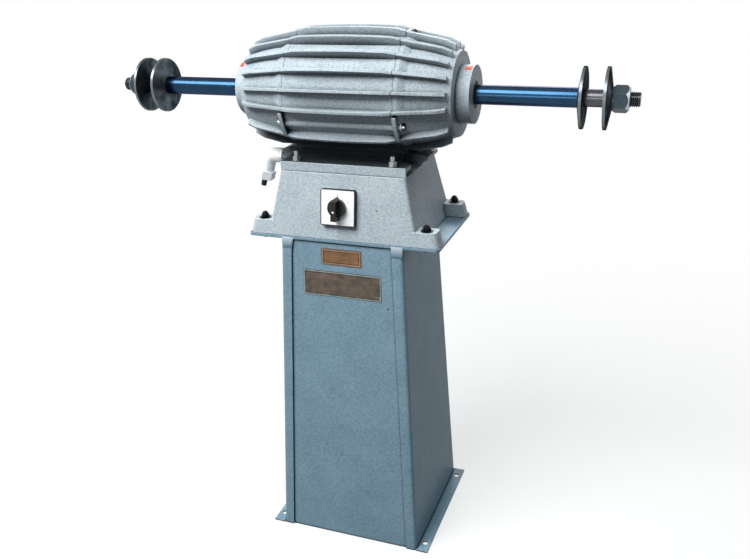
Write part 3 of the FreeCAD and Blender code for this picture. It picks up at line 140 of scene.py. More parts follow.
# The same enamel in blue grey on folded sheet: flatter dimples, crisp folded edges with a painted
# highlight, and a thin line of painted shade along each lap.
blueEnamel = silverEnamel | {
    "film": "#94b1c1", "vein": "#668293", "edge": "#c0d0d9", "shadeAndSeam": "#27333b",
    "dimple": 3.6, "dimpleDepth": 0.20, "veinShare": 0.30,
    "grain": 1.8, "grainDepth": 0.12, "grainShare": 0.35,
    "ripple": 60, "rippleDepth": 0.20, "driftShare": 0.50,
    "edgeRound": 1.3, "edgeHighlightShare": 0.8,
    "paintedShadeReach": 6, "paintedShadeShare": 0.95, "paintedShadeFrom": 0.94, "paintedShadeTo": 0.62,
    "onlyOwnCorners": False, "roughness": 0.34,
}
# Where the strips are welded to the top plate the bead is ground smooth; its film is painted pale
# there as a highlight that fades into the strip below.
groundWeldEnamel = blueEnamel | {
    "film": "#c6d3dc", "vein": "#a9bac6", "edge": "#e6ecf0", "paintedShadeShare": 0.0,
    "dimpleDepth": 0.10, "veinShare": 0.2,
    # the painted highlight fades to the strip's darker film between these heights in mm
    "fadeLow": 591, "fadeHigh": 607, "fadeFilm": "#6c8799",
}


def hammerEnamel(name, look):
    material, tree, place = startMaterial(name)
    if any(key in look for key in ("fadeFilm", "seam", "lowShadeShare")):
        parts = addNode(tree, "ShaderNodeSeparateXYZ", links={"Vector": place})
    drift = addNode(tree, "ShaderNodeTexNoise", {
        "Scale": perMetre(look["drift"]), "Detail": 3}, {"Vector": place})
    ripple = addNode(tree, "ShaderNodeTexNoise", {
        "Scale": perMetre(look["ripple"]), "Detail": 2}, {"Vector": place})
    dimples = addNode(tree, "ShaderNodeTexVoronoi", {
        "feature": "SMOOTH_F1", "Scale": perMetre(look["dimple"]), "Smoothness": 0.4},
        {"Vector": place})
    grain = addNode(tree, "ShaderNodeTexNoise", {
        "Scale": perMetre(look["grain"]), "Detail": 3, "Roughness": 0.6}, {"Vector": place})

    # relief: rounded edges, a slow ripple of the casting, its grain, then the dimples
    rounded = addNode(tree, "ShaderNodeBevel", {"samples": 6, "Radius": look["edgeRound"] * mm})
    rippled = addNode(tree, "ShaderNodeBump", {
        "Strength": look["rippleDepth"], "Distance": look["rippleHeight"] * mm},
        {"Height": ripple, "Normal": rounded})
    grained = addNode(tree, "ShaderNodeBump", {
        "Strength": look["grainDepth"], "Distance": look["grainHeight"] * mm},
        {"Height": grain, "Normal": rippled})
    dimpled = addNode(tree, "ShaderNodeBump", {
        "Strength": look["dimpleDepth"], "Distance": look["dimpleHeight"] * mm, "invert": True},
        {"Height": dimples, "Normal": grained})

    # colour: film to vein, then a painted highlight along the edges
    veins = addNode(tree, "ShaderNodeMapRange", {
        "interpolation_type": "SMOOTHSTEP",
        "From Min": look["veinFrom"], "From Max": look["veinTo"], "To Max": look["veinShare"]},
        {"Value": dimples})
    drifted = addNode(tree, "ShaderNodeMath", {
        "operation": "MULTIPLY_ADD", 1: look["driftShare"]}, {0: drift, 2: veins})
    toned = addNode(tree, "ShaderNodeMath", {
        "operation": "MULTIPLY_ADD", 1: look["grainShare"], "use_clamp": True},
        {0: grain, 2: drifted})
    paint = addNode(tree, "ShaderNodeMixRGB", {
        "Color1": look["film"], "Color2": look["vein"]}, {"Fac": toned})
    surface = addNode(tree, "ShaderNodeNewGeometry")
    # painted highlight: paler where the rounded normal turns away from the true one
    bend = addNode(tree, "ShaderNodeVectorMath", {"operation": "DOT_PRODUCT"},
                   {0: rounded, 1: surface.outputs["True Normal"]})
    edgeHighlight = addNode(tree, "ShaderNodeMapRange", {
        "From Min": look["edgeHighlightFrom"], "From Max": look["edgeHighlightTo"], "To Max": look["edgeHighlightShare"]},
        {"Value": bend.outputs["Value"]})
    paint = addNode(tree, "ShaderNodeMixRGB", {"Color2": look["edge"]},
                    {"Fac": edgeHighlight, "Color1": paint})
    if "fadeFilm" in look:
        faded = addNode(tree, "ShaderNodeMapRange", {
            "From Min": look["fadeLow"] * mm, "From Max": look["fadeHigh"] * mm,
            "To Min": 1, "To Max": 0}, {"Value": parts.outputs["Z"]})
        paint = addNode(tree, "ShaderNodeMixRGB", {"Color2": look["fadeFilm"]},
                        {"Fac": faded, "Color1": paint})
    if "seam" in look:
        along = addNode(tree, "ShaderNodeMath", {"operation": "ABSOLUTE"}, {0: parts.outputs["X"]})
        fromSeam = addNode(tree, "ShaderNodeMath", {
            "operation": "SUBTRACT", 1: look["seam"] * mm}, {0: along})
        gap = addNode(tree, "ShaderNodeMath", {"operation": "ABSOLUTE"}, {0: fromSeam})
        hairline = addNode(tree, "ShaderNodeMapRange", {
            "From Min": look["seamWidth"] * mm, "From Max": look["seamFade"] * mm,
            "To Min": look["seamShare"], "To Max": 0}, {"Value": gap})
        above = addNode(tree, "ShaderNodeMath", {
            "operation": "GREATER_THAN", 1: look["seamAbove"] * mm}, {0: parts.outputs["Z"]})
        seam = addNode(tree, "ShaderNodeMath", {"operation": "MULTIPLY"}, {0: hairline, 1: above})
        paint = addNode(tree, "ShaderNodeMixRGB", {"Color2": look["shadeAndSeam"]},
                        {"Fac": seam, "Color1": paint})

    # painted shade: dark where a surface is closed in, reaching further out and deepening lower
    # down towards the motor's foot
    corner = addNode(tree, "ShaderNodeAmbientOcclusion", {
        "samples": 8, "only_local": look["onlyOwnCorners"], "Distance": look["paintedShadeReach"] * mm})
    openness = corner.outputs["AO"]
    # painted shade that deepens lower down, below the barrel towards the foot
    if "lowShadeShare" in look:
        paintedLowShade = addNode(tree, "ShaderNodeMapRange", {
            "From Min": look["lowShadeTop"] * mm, "From Max": look["lowShadeBottom"] * mm,
            "To Max": look["lowShadeShare"]}, {"Value": parts.outputs["Z"]})
        openness = addNode(tree, "ShaderNodeMath", {"operation": "SUBTRACT"},
                           {0: openness, 1: paintedLowShade})
    # painted shade: closed-in places take the dark colour
    paintedShadeMask = addNode(tree, "ShaderNodeMapRange", {
        "From Min": look["paintedShadeFrom"], "From Max": look["paintedShadeTo"], "To Max": look["paintedShadeShare"]},
        {"Value": openness})
    shadedPaint = addNode(tree, "ShaderNodeMixRGB", {"Color2": look["shadeAndSeam"]},
                    {"Fac": paintedShadeMask, "Color1": paint})
    fall, rise = sheenSpread["enamel"]
    sheen = addNode(tree, "ShaderNodeMapRange", {
        "To Min": look["roughness"] + fall, "To Max": look["roughness"] + rise}, {"Value": grain})
    finishMaterial(tree, {
        "Metallic": 0.0, "IOR": look["ior"], "Specular IOR Level": look["specular"]},
        {"Base Color": shadedPaint, "Roughness": sheen, "Normal": dimpled})
    return material


# Steel parts: metallic, default IOR, fine lines left by the tool that cut them. Sizes are in mm;
# the real lines are about 0.2 mm apart, so "lines" draws all of them coarser.
steelLooks = {
    # bright zinc plate on studs, washers and nuts, clouded by handling
    "zincPlatedSteel": {"light": "#b4babc", "dark": "#6f777b", "mottle": 3, "lines": 1.2,
                        "depth": 0.06, "roughness": 0.32, "edgeRound": 0.4},
    # black oxide on dome nuts and bolts, oily and nearly black
    "blackOxideSteel": {"light": "#24282c", "dark": "#0e1013", "mottle": 4, "lines": 1.5,
                        "depth": 0.08, "roughness": 0.40, "edgeRound": 0.5},
    # dull grey forged flats with bare, bright chamfers where a lathe has cut
    "hotForgedNutSteel": {"light": "#4f5c64", "dark": "#2c363d", "mottle": 3, "lines": 1.4,
                          "depth": 0.25, "roughness": 0.42, "edgeRound": 0.8, "turned": "#a9b2b8"},
    # ground and polished bearing rings, the brightest metal
    "groundBearingSteel": {"light": "#c4c8ca", "dark": "#a2a8ac", "mottle": 8, "lines": 0.9,
                           "depth": 0.03, "roughness": 0.18, "edgeRound": 0.4},
    # pale, grainy cast end rings
    "castAluminium": {"light": "#c3c6c7", "dark": "#93989a", "mottle": 3, "lines": 3.0,
                      "depth": 0.12, "roughness": 0.45, "edgeRound": 1.0},
    # stacked sheets: strong fine stripes in greys
    "laminatedCoreSteel": {"light": "#70767a", "dark": "#33373a", "mottle": 6, "lines": 1.5,
                           "depth": 0.5, "roughness": 0.45, "edgeRound": 0.3},
}
steelRelief = {"height": 0.3, "turnedFrom": 0.15, "turnedTo": 0.25}


def machinedSteel(name, look):
    # faint tool lines across the part's axis, and a cloudy tone from handling and oil
    material, tree, place = startMaterial(name)
    cloud = addNode(tree, "ShaderNodeTexNoise", {
        "Scale": perMetre(look["mottle"]), "Detail": 5, "Roughness": 0.65}, {"Vector": place})
    lines = addNode(tree, "ShaderNodeTexWave", {
        "wave_type": "BANDS", "bands_direction": "X", "Scale": perMetre(look["lines"] * waveTurn),
        "Distortion": 1.5, "Detail": 2}, {"Vector": place})
    rounded = addNode(tree, "ShaderNodeBevel", {"samples": 4, "Radius": look["edgeRound"] * mm})
    scored = addNode(tree, "ShaderNodeBump", {
        "Strength": look["depth"], "Distance": steelRelief["height"] * mm},
        {"Height": lines, "Normal": rounded})
    tone = addNode(tree, "ShaderNodeMixRGB", {
        "Color1": look["dark"], "Color2": look["light"]}, {"Fac": cloud})
    if "turned" in look:
        # faces that lean along the part's axis are the ones that the lathe has cut
        surface = addNode(tree, "ShaderNodeNewGeometry")
        parts = addNode(tree, "ShaderNodeSeparateXYZ",
                        links={"Vector": surface.outputs["True Normal"]})
        lean = addNode(tree, "ShaderNodeMath", {"operation": "ABSOLUTE"}, {0: parts.outputs["X"]})
        isTurned = addNode(tree, "ShaderNodeMapRange", {
            "From Min": steelRelief["turnedFrom"], "From Max": steelRelief["turnedTo"]},
            {"Value": lean})
        tone = addNode(tree, "ShaderNodeMixRGB", {"Color2": look["turned"]},
                       {"Fac": isTurned, "Color1": tone})
    fall, rise = sheenSpread["steel"]
    sheen = addNode(tree, "ShaderNodeMapRange", {
        "To Min": look["roughness"] + fall, "To Max": look["roughness"] + rise}, {"Value": cloud})
    finishMaterial(tree, {"Metallic": 1.0},
                   {"Base Color": tone, "Roughness": sheen, "Normal": scored})
    return material


# Spindle: heat-blued, ground steel under a film of oil, deep blue in the shade and bright blue
# along the light; bare grey steel on the wheel seats and threads. The grinding lines, drawn
# coarser than real, run round the shaft and draw each highlight a little out along it.
spindleLook = {
    "blue": "#194260", "deepBlue": "#0d2a41", "edge": "#3a6c94",
    "bare": "#595b5e", "bareDark": "#3a3b3d", "seatStart": 377.5, "seatFade": 1,
    "cloud": 22, "lines": 1.0, "lineDepth": 0.03, "lineHeight": 0.2,
    "roughness": 0.20, "streak": 0.1, "oil": 0.3, "oilRoughness": 0.22,
}
alongShaft = 0.25  # turns the anisotropy by a quarter, so that highlights stretch across the lines


def bluedSpindleSteel():
    material, tree, place = startMaterial("bluedSpindleSteel")
    parts = addNode(tree, "ShaderNodeSeparateXYZ", links={"Vector": place})
    along = addNode(tree, "ShaderNodeMath", {"operation": "ABSOLUTE"}, {0: parts.outputs["X"]})
    seatEnd = spindleLook["seatStart"] + spindleLook["seatFade"]
    isSeat = addNode(tree, "ShaderNodeMapRange", {
        "From Min": spindleLook["seatStart"] * mm, "From Max": seatEnd * mm}, {"Value": along})
    cloud = addNode(tree, "ShaderNodeTexNoise", {
        "Scale": perMetre(spindleLook["cloud"]), "Detail": 5, "Roughness": 0.65}, {"Vector": place})
    lines = addNode(tree, "ShaderNodeTexNoise", {
        "noise_dimensions": "1D", "Scale": perMetre(spindleLook["lines"]), "Detail": 3},
        {"W": along})
    blued = addNode(tree, "ShaderNodeMixRGB", {
        "Color1": spindleLook["deepBlue"], "Color2": spindleLook["blue"]}, {"Fac": cloud})
    bare = addNode(tree, "ShaderNodeMixRGB", {
        "Color1": spindleLook["bareDark"], "Color2": spindleLook["bare"]}, {"Fac": lines})
    tone = addNode(tree, "ShaderNodeMixRGB", links={"Fac": isSeat, "Color1": blued, "Color2": bare})
    scored = addNode(tree, "ShaderNodeBump", {
        "Strength": spindleLook["lineDepth"], "Distance": spindleLook["lineHeight"] * mm},
        {"Height": lines})
    around = addNode(tree, "ShaderNodeTangent", {"direction_type": "RADIAL", "axis": "X"})
    fall, rise = sheenSpread["spindle"]
    sheen = addNode(tree, "ShaderNodeMapRange", {
        "To Min": spindleLook["roughness"] + fall, "To Max": spindleLook["roughness"] + rise},
        {"Value": cloud})
    finishMaterial(tree, {
        "Metallic": 1.0, "Anisotropic": spindleLook["streak"], "Anisotropic Rotation": alongShaft,
        "Coat Weight": spindleLook["oil"], "Coat Roughness": spindleLook["oilRoughness"],
        "Specular Tint": spindleLook["edge"]},
        {"Base Color": tone, "Roughness": sheen, "Normal": scored, "Tangent": around})
    return material


# Wheel flanges: dark steel faced on a lathe, clouded with wear, so that the rings turn each lamp
# into a fan from the hub; the rim is rubbed bright. The rings are drawn coarser than real.
flangeLook = {
    "light": "#6c767c", "dark": "#15191c", "rim": "#767c80", "edge": "#30363a",
    "cloud": 18, "wornFrom": 0.25, "wornTo": 0.75, "wornLeast": 0.1, "wornMost": 0.9,
    "rimStart": 47.6, "rimFade": 0.6,
    "ring": 1.1, "ringDepth": 0.12, "ringHeight": 0.25, "edgeRound": 0.7,
    "roughness": 0.36, "fan": 0.75,
}


def turnedFlangeSteel():
    material, tree, place = startMaterial("turnedFlangeSteel")
    parts = addNode(tree, "ShaderNodeSeparateXYZ", links={"Vector": place})
    height = addNode(tree, "ShaderNodeMath", {
        "operation": "SUBTRACT", 1: spindleAxis.z}, {0: parts.outputs["Z"]})
    radial = addNode(tree, "ShaderNodeCombineXYZ", links={"Y": parts.outputs["Y"], "Z": height})
    radius = addNode(tree, "ShaderNodeVectorMath", {"operation": "LENGTH"}, {0: radial})
    rings = addNode(tree, "ShaderNodeTexNoise", {
        "noise_dimensions": "1D", "Scale": perMetre(flangeLook["ring"]),
        "Detail": 3, "Roughness": 0.6}, {"W": radius.outputs["Value"]})
    cloud = addNode(tree, "ShaderNodeTexNoise", {
        "Scale": perMetre(flangeLook["cloud"]), "Detail": 4}, {"Vector": place})
    worn = addNode(tree, "ShaderNodeMapRange", {
        "From Min": flangeLook["wornFrom"], "From Max": flangeLook["wornTo"],
        "To Min": flangeLook["wornLeast"], "To Max": flangeLook["wornMost"]}, {"Value": cloud})
    face = addNode(tree, "ShaderNodeMixRGB", {
        "Color1": flangeLook["dark"], "Color2": flangeLook["light"]}, {"Fac": worn})
    rimEnd = flangeLook["rimStart"] + flangeLook["rimFade"]
    isRim = addNode(tree, "ShaderNodeMapRange", {
        "From Min": flangeLook["rimStart"] * mm, "From Max": rimEnd * mm},
        {"Value": radius.outputs["Value"]})
    tone = addNode(tree, "ShaderNodeMixRGB", {"Color2": flangeLook["rim"]},
                   {"Fac": isRim, "Color1": face})
    rounded = addNode(tree, "ShaderNodeBevel", {
        "samples": 4, "Radius": flangeLook["edgeRound"] * mm})
    scored = addNode(tree, "ShaderNodeBump", {
        "Strength": flangeLook["ringDepth"], "Distance": flangeLook["ringHeight"] * mm},
        {"Height": rings, "Normal": rounded})
    around = addNode(tree, "ShaderNodeTangent", {"direction_type": "RADIAL", "axis": "X"})
    fall, rise = sheenSpread["flange"]
    sheen = addNode(tree, "ShaderNodeMapRange", {
        "To Min": flangeLook["roughness"] + fall, "To Max": flangeLook["roughness"] + rise},
        {"Value": rings})
    finishMaterial(tree, {
        "Metallic": 1.0, "Anisotropic": flangeLook["fan"], "Anisotropic Rotation": alongShaft,
        "Specular Tint": flangeLook["edge"]},
        {"Base Color": tone, "Roughness": sheen, "Normal": scored, "Tangent": around})
    return material


# Moulded and other plain parts: a fine moulding grain, a slight change of tone, a soft edge.
mouldedLooks = {
    # matt black nylon-filled switch frame
    "mouldedBlackNylon": {"light": "#121416", "dark": "#08090a", "grain": 0.8, "depth": 0.12,
                          "roughness": 0.46, "ior": 1.53, "edgeRound": 0.5},
    # glossy black phenolic knob
    "mouldedBlackPhenolic": {"light": "#0c0e10", "dark": "#050606", "grain": 2.5, "depth": 0.03,
                             "roughness": 0.26, "ior": 1.55, "edgeRound": 0.7},
    # printed white styrene dial
    "whiteStyreneDial": {"light": "#fbfbfb", "dark": "#f1f3f3", "grain": 3.0, "depth": 0.02,
                         "roughness": 0.35, "ior": 1.59, "edgeRound": 0.3},
    # clean white nylon cable fitting
    "mouldedWhiteNylon": {"light": "#ffffff", "dark": "#f6f7f6", "grain": 1.2, "depth": 0.06,
                          "roughness": 0.38, "ior": 1.53, "edgeRound": 0.8},
    # black nitrile rubber of seals and the cable bush
    "blackNitrileRubber": {"light": "#1b1d1f", "dark": "#0e0f10", "grain": 1.0, "depth": 0.2,
                           "roughness": 0.68, "ior": 1.52, "edgeRound": 0.4},
    # white marking paint
    "whiteMarkingPaint": {"light": "#fafaf8", "dark": "#efefec", "grain": 0.8, "depth": 0.05,
                          "roughness": 0.5, "ior": 1.5, "edgeRound": 0.1},
    # grey printing ink on the dial
    "greyPrintingInk": {"light": "#777b7e", "dark": "#5d6164", "grain": 0.8, "depth": 0.03,
                        "roughness": 0.55, "ior": 1.5, "edgeRound": 0.1},
    # red vinyl stickers, left plain
    "redVinylSticker": {"light": "#e5523a", "dark": "#c23d28", "grain": 2.0, "depth": 0.05,
                        "roughness": 0.42, "ior": 1.54, "edgeRound": 0.1},
    # bare primer at the bottom of a chip in the enamel
    "darkPrimer": {"light": "#1a1d20", "dark": "#0c0e0f", "grain": 0.8, "depth": 0.2,
                   "roughness": 0.7, "ior": 1.5, "edgeRound": 0.1},
}
mouldedRelief = {"height": 0.2, "cloud": 12, "specular": 0.3}


def mouldedPlastic(name, look):
    material, tree, place = startMaterial(name)
    grain = addNode(tree, "ShaderNodeTexNoise", {
        "Scale": perMetre(look["grain"]), "Detail": 3}, {"Vector": place})
    cloud = addNode(tree, "ShaderNodeTexNoise", {
        "Scale": perMetre(mouldedRelief["cloud"]), "Detail": 4}, {"Vector": place})
    rounded = addNode(tree, "ShaderNodeBevel", {"samples": 4, "Radius": look["edgeRound"] * mm})
    grained = addNode(tree, "ShaderNodeBump", {
        "Strength": look["depth"], "Distance": mouldedRelief["height"] * mm},
        {"Height": grain, "Normal": rounded})
    tone = addNode(tree, "ShaderNodeMixRGB", {
        "Color1": look["dark"], "Color2": look["light"]}, {"Fac": cloud})
    fall, rise = sheenSpread["moulded"]
    sheen = addNode(tree, "ShaderNodeMapRange", {
        "To Min": look["roughness"] + fall, "To Max": look["roughness"] + rise}, {"Value": cloud})
    finishMaterial(tree, {"IOR": look["ior"], "Specular IOR Level": mouldedRelief["specular"]},
                   {"Base Color": tone, "Roughness": sheen, "Normal": grained})
    return material


# Winding: bundles of enamelled copper wire under brown varnish; 1 mm wire drawn as 2 mm ridges.
windingLook = {"light": "#b8672f", "dark": "#5e2c14", "wire": 2.0, "wander": 4,
               "depth": 0.6, "height": 0.6, "metal": 0.5, "roughness": 0.35,
               "varnish": 0.5, "varnishRoughness": 0.2}


def varnishedCopper():
    material, tree, place = startMaterial("varnishedCopper")
    wires = addNode(tree, "ShaderNodeTexWave", {
        "wave_type": "RINGS", "rings_direction": "X",
        "Scale": perMetre(windingLook["wire"] * waveTurn),
        "Distortion": windingLook["wander"], "Detail": 2}, {"Vector": place})
    tone = addNode(tree, "ShaderNodeMixRGB", {
        "Color1": windingLook["dark"], "Color2": windingLook["light"]}, {"Fac": wires})
    ridged = addNode(tree, "ShaderNodeBump", {
        "Strength": windingLook["depth"], "Distance": windingLook["height"] * mm},
        {"Height": wires})
    finishMaterial(tree, {
        "Metallic": windingLook["metal"], "Roughness": windingLook["roughness"],
        "Coat Weight": windingLook["varnish"], "Coat Roughness": windingLook["varnishRoughness"]},
        {"Base Color": tone, "Normal": ridged})
    return material


# Label plates: thin aluminium sheet anodised dark bronze, brushed along its length, left bare.
plateLooks = {
    "large": {"field": "#3f372f", "streak": "#6b5d4f", "rim": "#8f9690", "rimStreak": "#b9bfb8",
              "border": "#24241f", "borderStreak": "#57564c"},
    "small": {"field": "#5c4128", "streak": "#8f6a45", "rim": "#a88a66", "rimStreak": "#c6a983",
              "border": "#2c2219", "borderStreak": "#5a4430"},
}
brushing = {"line": 1.5, "stretch": 0.06, "cloud": 14, "streakFrom": 0.12, "streakTo": 0.4,
            "depth": 0.08, "height": 0.2, "smoothest": 0.30, "roughest": 0.5,
            "metal": 0.2, "ior": 1.5}


def bronzeAnodised(name, field, streak):
    material, tree, place = startMaterial(name)
    stretch = addNode(tree, "ShaderNodeMapping", {
        "Scale": (brushing["stretch"], 1, 1)}, {"Vector": place})
    brush = addNode(tree, "ShaderNodeTexNoise", {
        "Scale": perMetre(brushing["line"]), "Detail": 5, "Roughness": 0.7}, {"Vector": stretch})
    cloud = addNode(tree, "ShaderNodeTexNoise", {
        "Scale": perMetre(brushing["cloud"]), "Detail": 4}, {"Vector": place})
    mixed = addNode(tree, "ShaderNodeMath", {"operation": "MULTIPLY"}, {0: brush, 1: cloud})
    spread = addNode(tree, "ShaderNodeMapRange", {
        "From Min": brushing["streakFrom"], "From Max": brushing["streakTo"]}, {"Value": mixed})
    tone = addNode(tree, "ShaderNodeMixRGB", {"Color1": field, "Color2": streak}, {"Fac": spread})
    brushed = addNode(tree, "ShaderNodeBump", {
        "Strength": brushing["depth"], "Distance": brushing["height"] * mm}, {"Height": brush})
    sheen = addNode(tree, "ShaderNodeMapRange", {
        "To Min": brushing["smoothest"], "To Max": brushing["roughest"]}, {"Value": brush})
    finishMaterial(tree, {"Metallic": brushing["metal"], "IOR": brushing["ior"]},
                   {"Base Color": tone, "Roughness": sheen, "Normal": brushed})
    return material


finishes = {
    "silver_hammer_paint": hammerEnamel("silverHammerEnamel", silverEnamel),
    "blue_grey_hammer_paint": hammerEnamel("blueGreyHammerEnamel", blueEnamel),
    "blued_steel": bluedSpindleSteel(),
    "turned_steel": turnedFlangeSteel(),
    "enamelled_copper": varnishedCopper(),
}
slotSteels = {
    "zinc_plated_steel": "zincPlatedSteel", "black_oxide_steel": "blackOxideSteel",
    "nut_steel": "hotForgedNutSteel", "bearing_steel": "groundBearingSteel",
    "cast_aluminium": "castAluminium", "laminated_steel": "laminatedCoreSteel",
}
for slotName, steel in slotSteels.items():
    finishes[slotName] = machinedSteel(steel, steelLooks[steel])
slotPlastics = {
    "black_plastic": "mouldedBlackNylon", "black_gloss_plastic": "mouldedBlackPhenolic",
    "white_dial": "whiteStyreneDial", "white_plastic": "mouldedWhiteNylon",
    "black_rubber": "blackNitrileRubber",
}
for slotName, plastic in slotPlastics.items():
    finishes[slotName] = mouldedPlastic(plastic, mouldedLooks[plastic])
markingPaint = mouldedPlastic("whiteMarkingPaint", mouldedLooks["whiteMarkingPaint"])
printingInk = mouldedPlastic("greyPrintingInk", mouldedLooks["greyPrintingInk"])
redVinyl = mouldedPlastic("redVinylSticker", mouldedLooks["redVinylSticker"])
chipPrimer = mouldedPlastic("darkPrimer", mouldedLooks["darkPrimer"])
weldFinish = hammerEnamel("groundWeldEnamel", groundWeldEnamel)
plateFinishes = {}
for plate, look in plateLooks.items():
    plateFinishes[plate] = {
        "field": bronzeAnodised(plate + "PlateBronze", look["field"], look["streak"]),
        "rim": bronzeAnodised(plate + "PlateRim", look["rim"], look["rimStreak"]),
        "border": bronzeAnodised(plate + "PlateBorder", look["border"], look["borderStreak"]),
    }
finishes["bronze_plate"] = plateFinishes["large"]["field"]
nodeFinishes = {"small_label_plate": plateFinishes["small"]["field"]}
motorFinish = hammerEnamel("motorHammerEnamel", motorEnamel)
for nodeName in ("stator_frame", "left_end_shield", "right_end_shield"):
    nodeFinishes[nodeName] = motorFinish

for nodeName, node in cadNodes.items():
    for materialSlot in node.material_slots:
        if materialSlot.material:
            slotName = materialSlot.material.name.split(".")[0]
            materialSlot.material = nodeFinishes.get(nodeName, finishes[slotName])


def newPiece(name, points, faces, material, body, slotName, sharpAngle=None):
    # a mesh piece that rides on a body; it is smooth up to the sharp angle, in degrees, or flat
    mesh = bpy.data.meshes.new(name)
    mesh.from_pydata([tuple(p) for p in points], [], faces)
    mesh.validate()
    tidy = bmesh.new()
    tidy.from_mesh(mesh)
    bmesh.ops.recalc_face_normals(tidy, faces=tidy.faces)
    tidy.to_mesh(mesh)
    tidy.free()
    if sharpAngle:
        mesh.polygons.foreach_set("use_smooth", [True] * len(mesh.polygons))
        mesh.set_sharp_from_angle(angle=math.radians(sharpAngle))
    mesh.materials.append(material)
    piece = bpy.data.objects.new(name, mesh)
    scene.collection.objects.link(piece)
    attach(piece, body)
    return piece


def facing(out):
    # axes on a surface: X to the right, Y up the slope, Z out of it
    right = Vector((1, 0, 0))
    up = out.cross(right).normalized()
    return Matrix((up.cross(out), up, out)).transposed().to_4x4()


sameWay = 0.97  # faces that lean less than about 14 degrees from a direction
sameLevel = 0.2  # mm between faces that count as one flat side


def flatSide(nodeName, towards):
    # a frame at the middle of the flat side of a part that faces one way
    wanted = Vector(towards).normalized()
    faces = [f for f in cadNodes[nodeName].data.polygons if f.normal.dot(wanted) > sameWay]
    out = sum((f.normal * f.area for f in faces), Vector()).normalized()
    level = max(f.center.dot(out) for f in faces)
    front = [f for f in faces if level - f.center.dot(out) < sameLevel * mm]
    area = sum(f.area for f in front)
    middle = sum((f.center * f.area for f in front), Vector()) / area
    return Matrix.Translation(middle) @ facing(out)


def nearestSide(nodeName, point):
    # a frame on the surface of a part, at its nearest point to one given in mm
    spot, out = cadNodes[nodeName].closest_point_on_mesh(Vector(point) * mm)[1:3]
    return Matrix.Translation(spot) @ facing(out)


seat = 0.05  # mm that a mark or rim is sunk into what it sits on


def raised(side, outline, thickness):
    # an outline in mm on a flat side, raised by a thickness
    count = len(outline)
    low = [side @ Vector((x * mm, y * mm, -seat * mm)) for x, y in outline]
    high = [side @ Vector((x * mm, y * mm, thickness * mm)) for x, y in outline]
    walls = [(i, (i + 1) % count, count + (i + 1) % count, count + i) for i in range(count)]
    return low + high, walls + [tuple(range(count))[::-1], tuple(range(count, 2 * count))]


def rectangleRing(side, width, height, band, thickness):
    # a raised rectangular ring in mm, its corners mitred
    points = []
    for cornerX, cornerY in ((-1, -1), (1, -1), (1, 1), (-1, 1)):
        outer = (cornerX * width / 2, cornerY * height / 2)
        inner = (cornerX * (width / 2 - band), cornerY * (height / 2 - band))
        for (x, y), z in ((outer, -seat), (outer, thickness), (inner, thickness), (inner, -seat)):
            points.append(side @ Vector((x * mm, y * mm, z * mm)))
    faces = []
    for corner in range(4):
        here, there = 4 * corner, 4 * ((corner + 1) % 4)
        faces += [(here + k, there + k, there + (k + 1) % 4, here + (k + 1) % 4) for k in range(4)]
    return points, faces


def joined(parts):
    points, faces = [], []
    for somePoints, someFaces in parts:
        faces += [tuple(i + len(points) for i in face) for face in someFaces]
        points += somePoints
    return points, faces


def circlePoints(x, y, radius, count):
    steps = [2 * math.pi * i / count for i in range(count)]
    return [(x + radius * math.cos(a), y + radius * math.sin(a)) for a in steps]


print("switch markings")
dialMarks = {"numberHeight": 4.6, "numberRadius": 22.0, "thickness": 0.12, "curveSteps": 4,
             "positions": {"1": 150, "0": 90, "2": 30}}
dialSide = flatSide("switch_dial", (0, -1, 0.15))
for digit, angle in dialMarks["positions"].items():
    text = bpy.data.curves.new("dialDigit" + digit, "FONT")
    text.body = digit
    text.size = dialMarks["numberHeight"] * mm
    text.extrude = dialMarks["thickness"] * mm
    text.align_x = text.align_y = "CENTER"
    text.resolution_u = dialMarks["curveSteps"]
    a = math.radians(angle)
    spot = Vector((math.cos(a), math.sin(a), 0)) * dialMarks["numberRadius"] * mm
    lettering = bpy.data.objects.new("dialDigit", text)
    lettering.matrix_world = dialSide @ Matrix.Translation(spot)
    scene.collection.objects.link(lettering)
    bpy.context.view_layer.update()
    formed = lettering.evaluated_get(bpy.context.evaluated_depsgraph_get())
    mesh = bpy.data.meshes.new_from_object(formed)
    mesh.transform(lettering.matrix_world)
    bpy.data.objects.remove(lettering)
    mesh.materials.clear()
    mesh.materials.append(printingInk)
    piece = bpy.data.objects.new("dial_digit_" + digit, mesh)
    scene.collection.objects.link(piece)
    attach(piece, "stand")

# the knob has a white dot on its grip: a low dome in mm
knobDot = {"radius": 1.9, "crown": 0.35, "rings": 4, "steps": 20, "offset": (0, -1.5)}
gripTop = flatSide("switch_knob", tuple(dialSide.to_3x3() @ Vector((0, 0, 1))))
steps = knobDot["steps"]
points, faces = [], []
for ring in range(knobDot["rings"]):
    share = 1 - ring / knobDot["rings"]
    height = -seat if ring == 0 else knobDot["crown"] * (1 - share ** 2)
    circle = circlePoints(*knobDot["offset"], knobDot["radius"] * share, steps)
    points += [gripTop @ Vector((x * mm, y * mm, height * mm)) for x, y in circle]
for ring in range(knobDot["rings"] - 1):
    low, high = ring * steps, (ring + 1) * steps
    faces += [(low + i, low + (i + 1) % steps, high + (i + 1) % steps, high + i)
              for i in range(steps)]
last = (knobDot["rings"] - 1) * steps
faces += [tuple(range(last, last + steps)), tuple(range(steps))[::-1]]
newPiece("knob_dot", points, faces, markingPaint, "knob", "white_plastic", sharpAngle=50)


print("label rims")
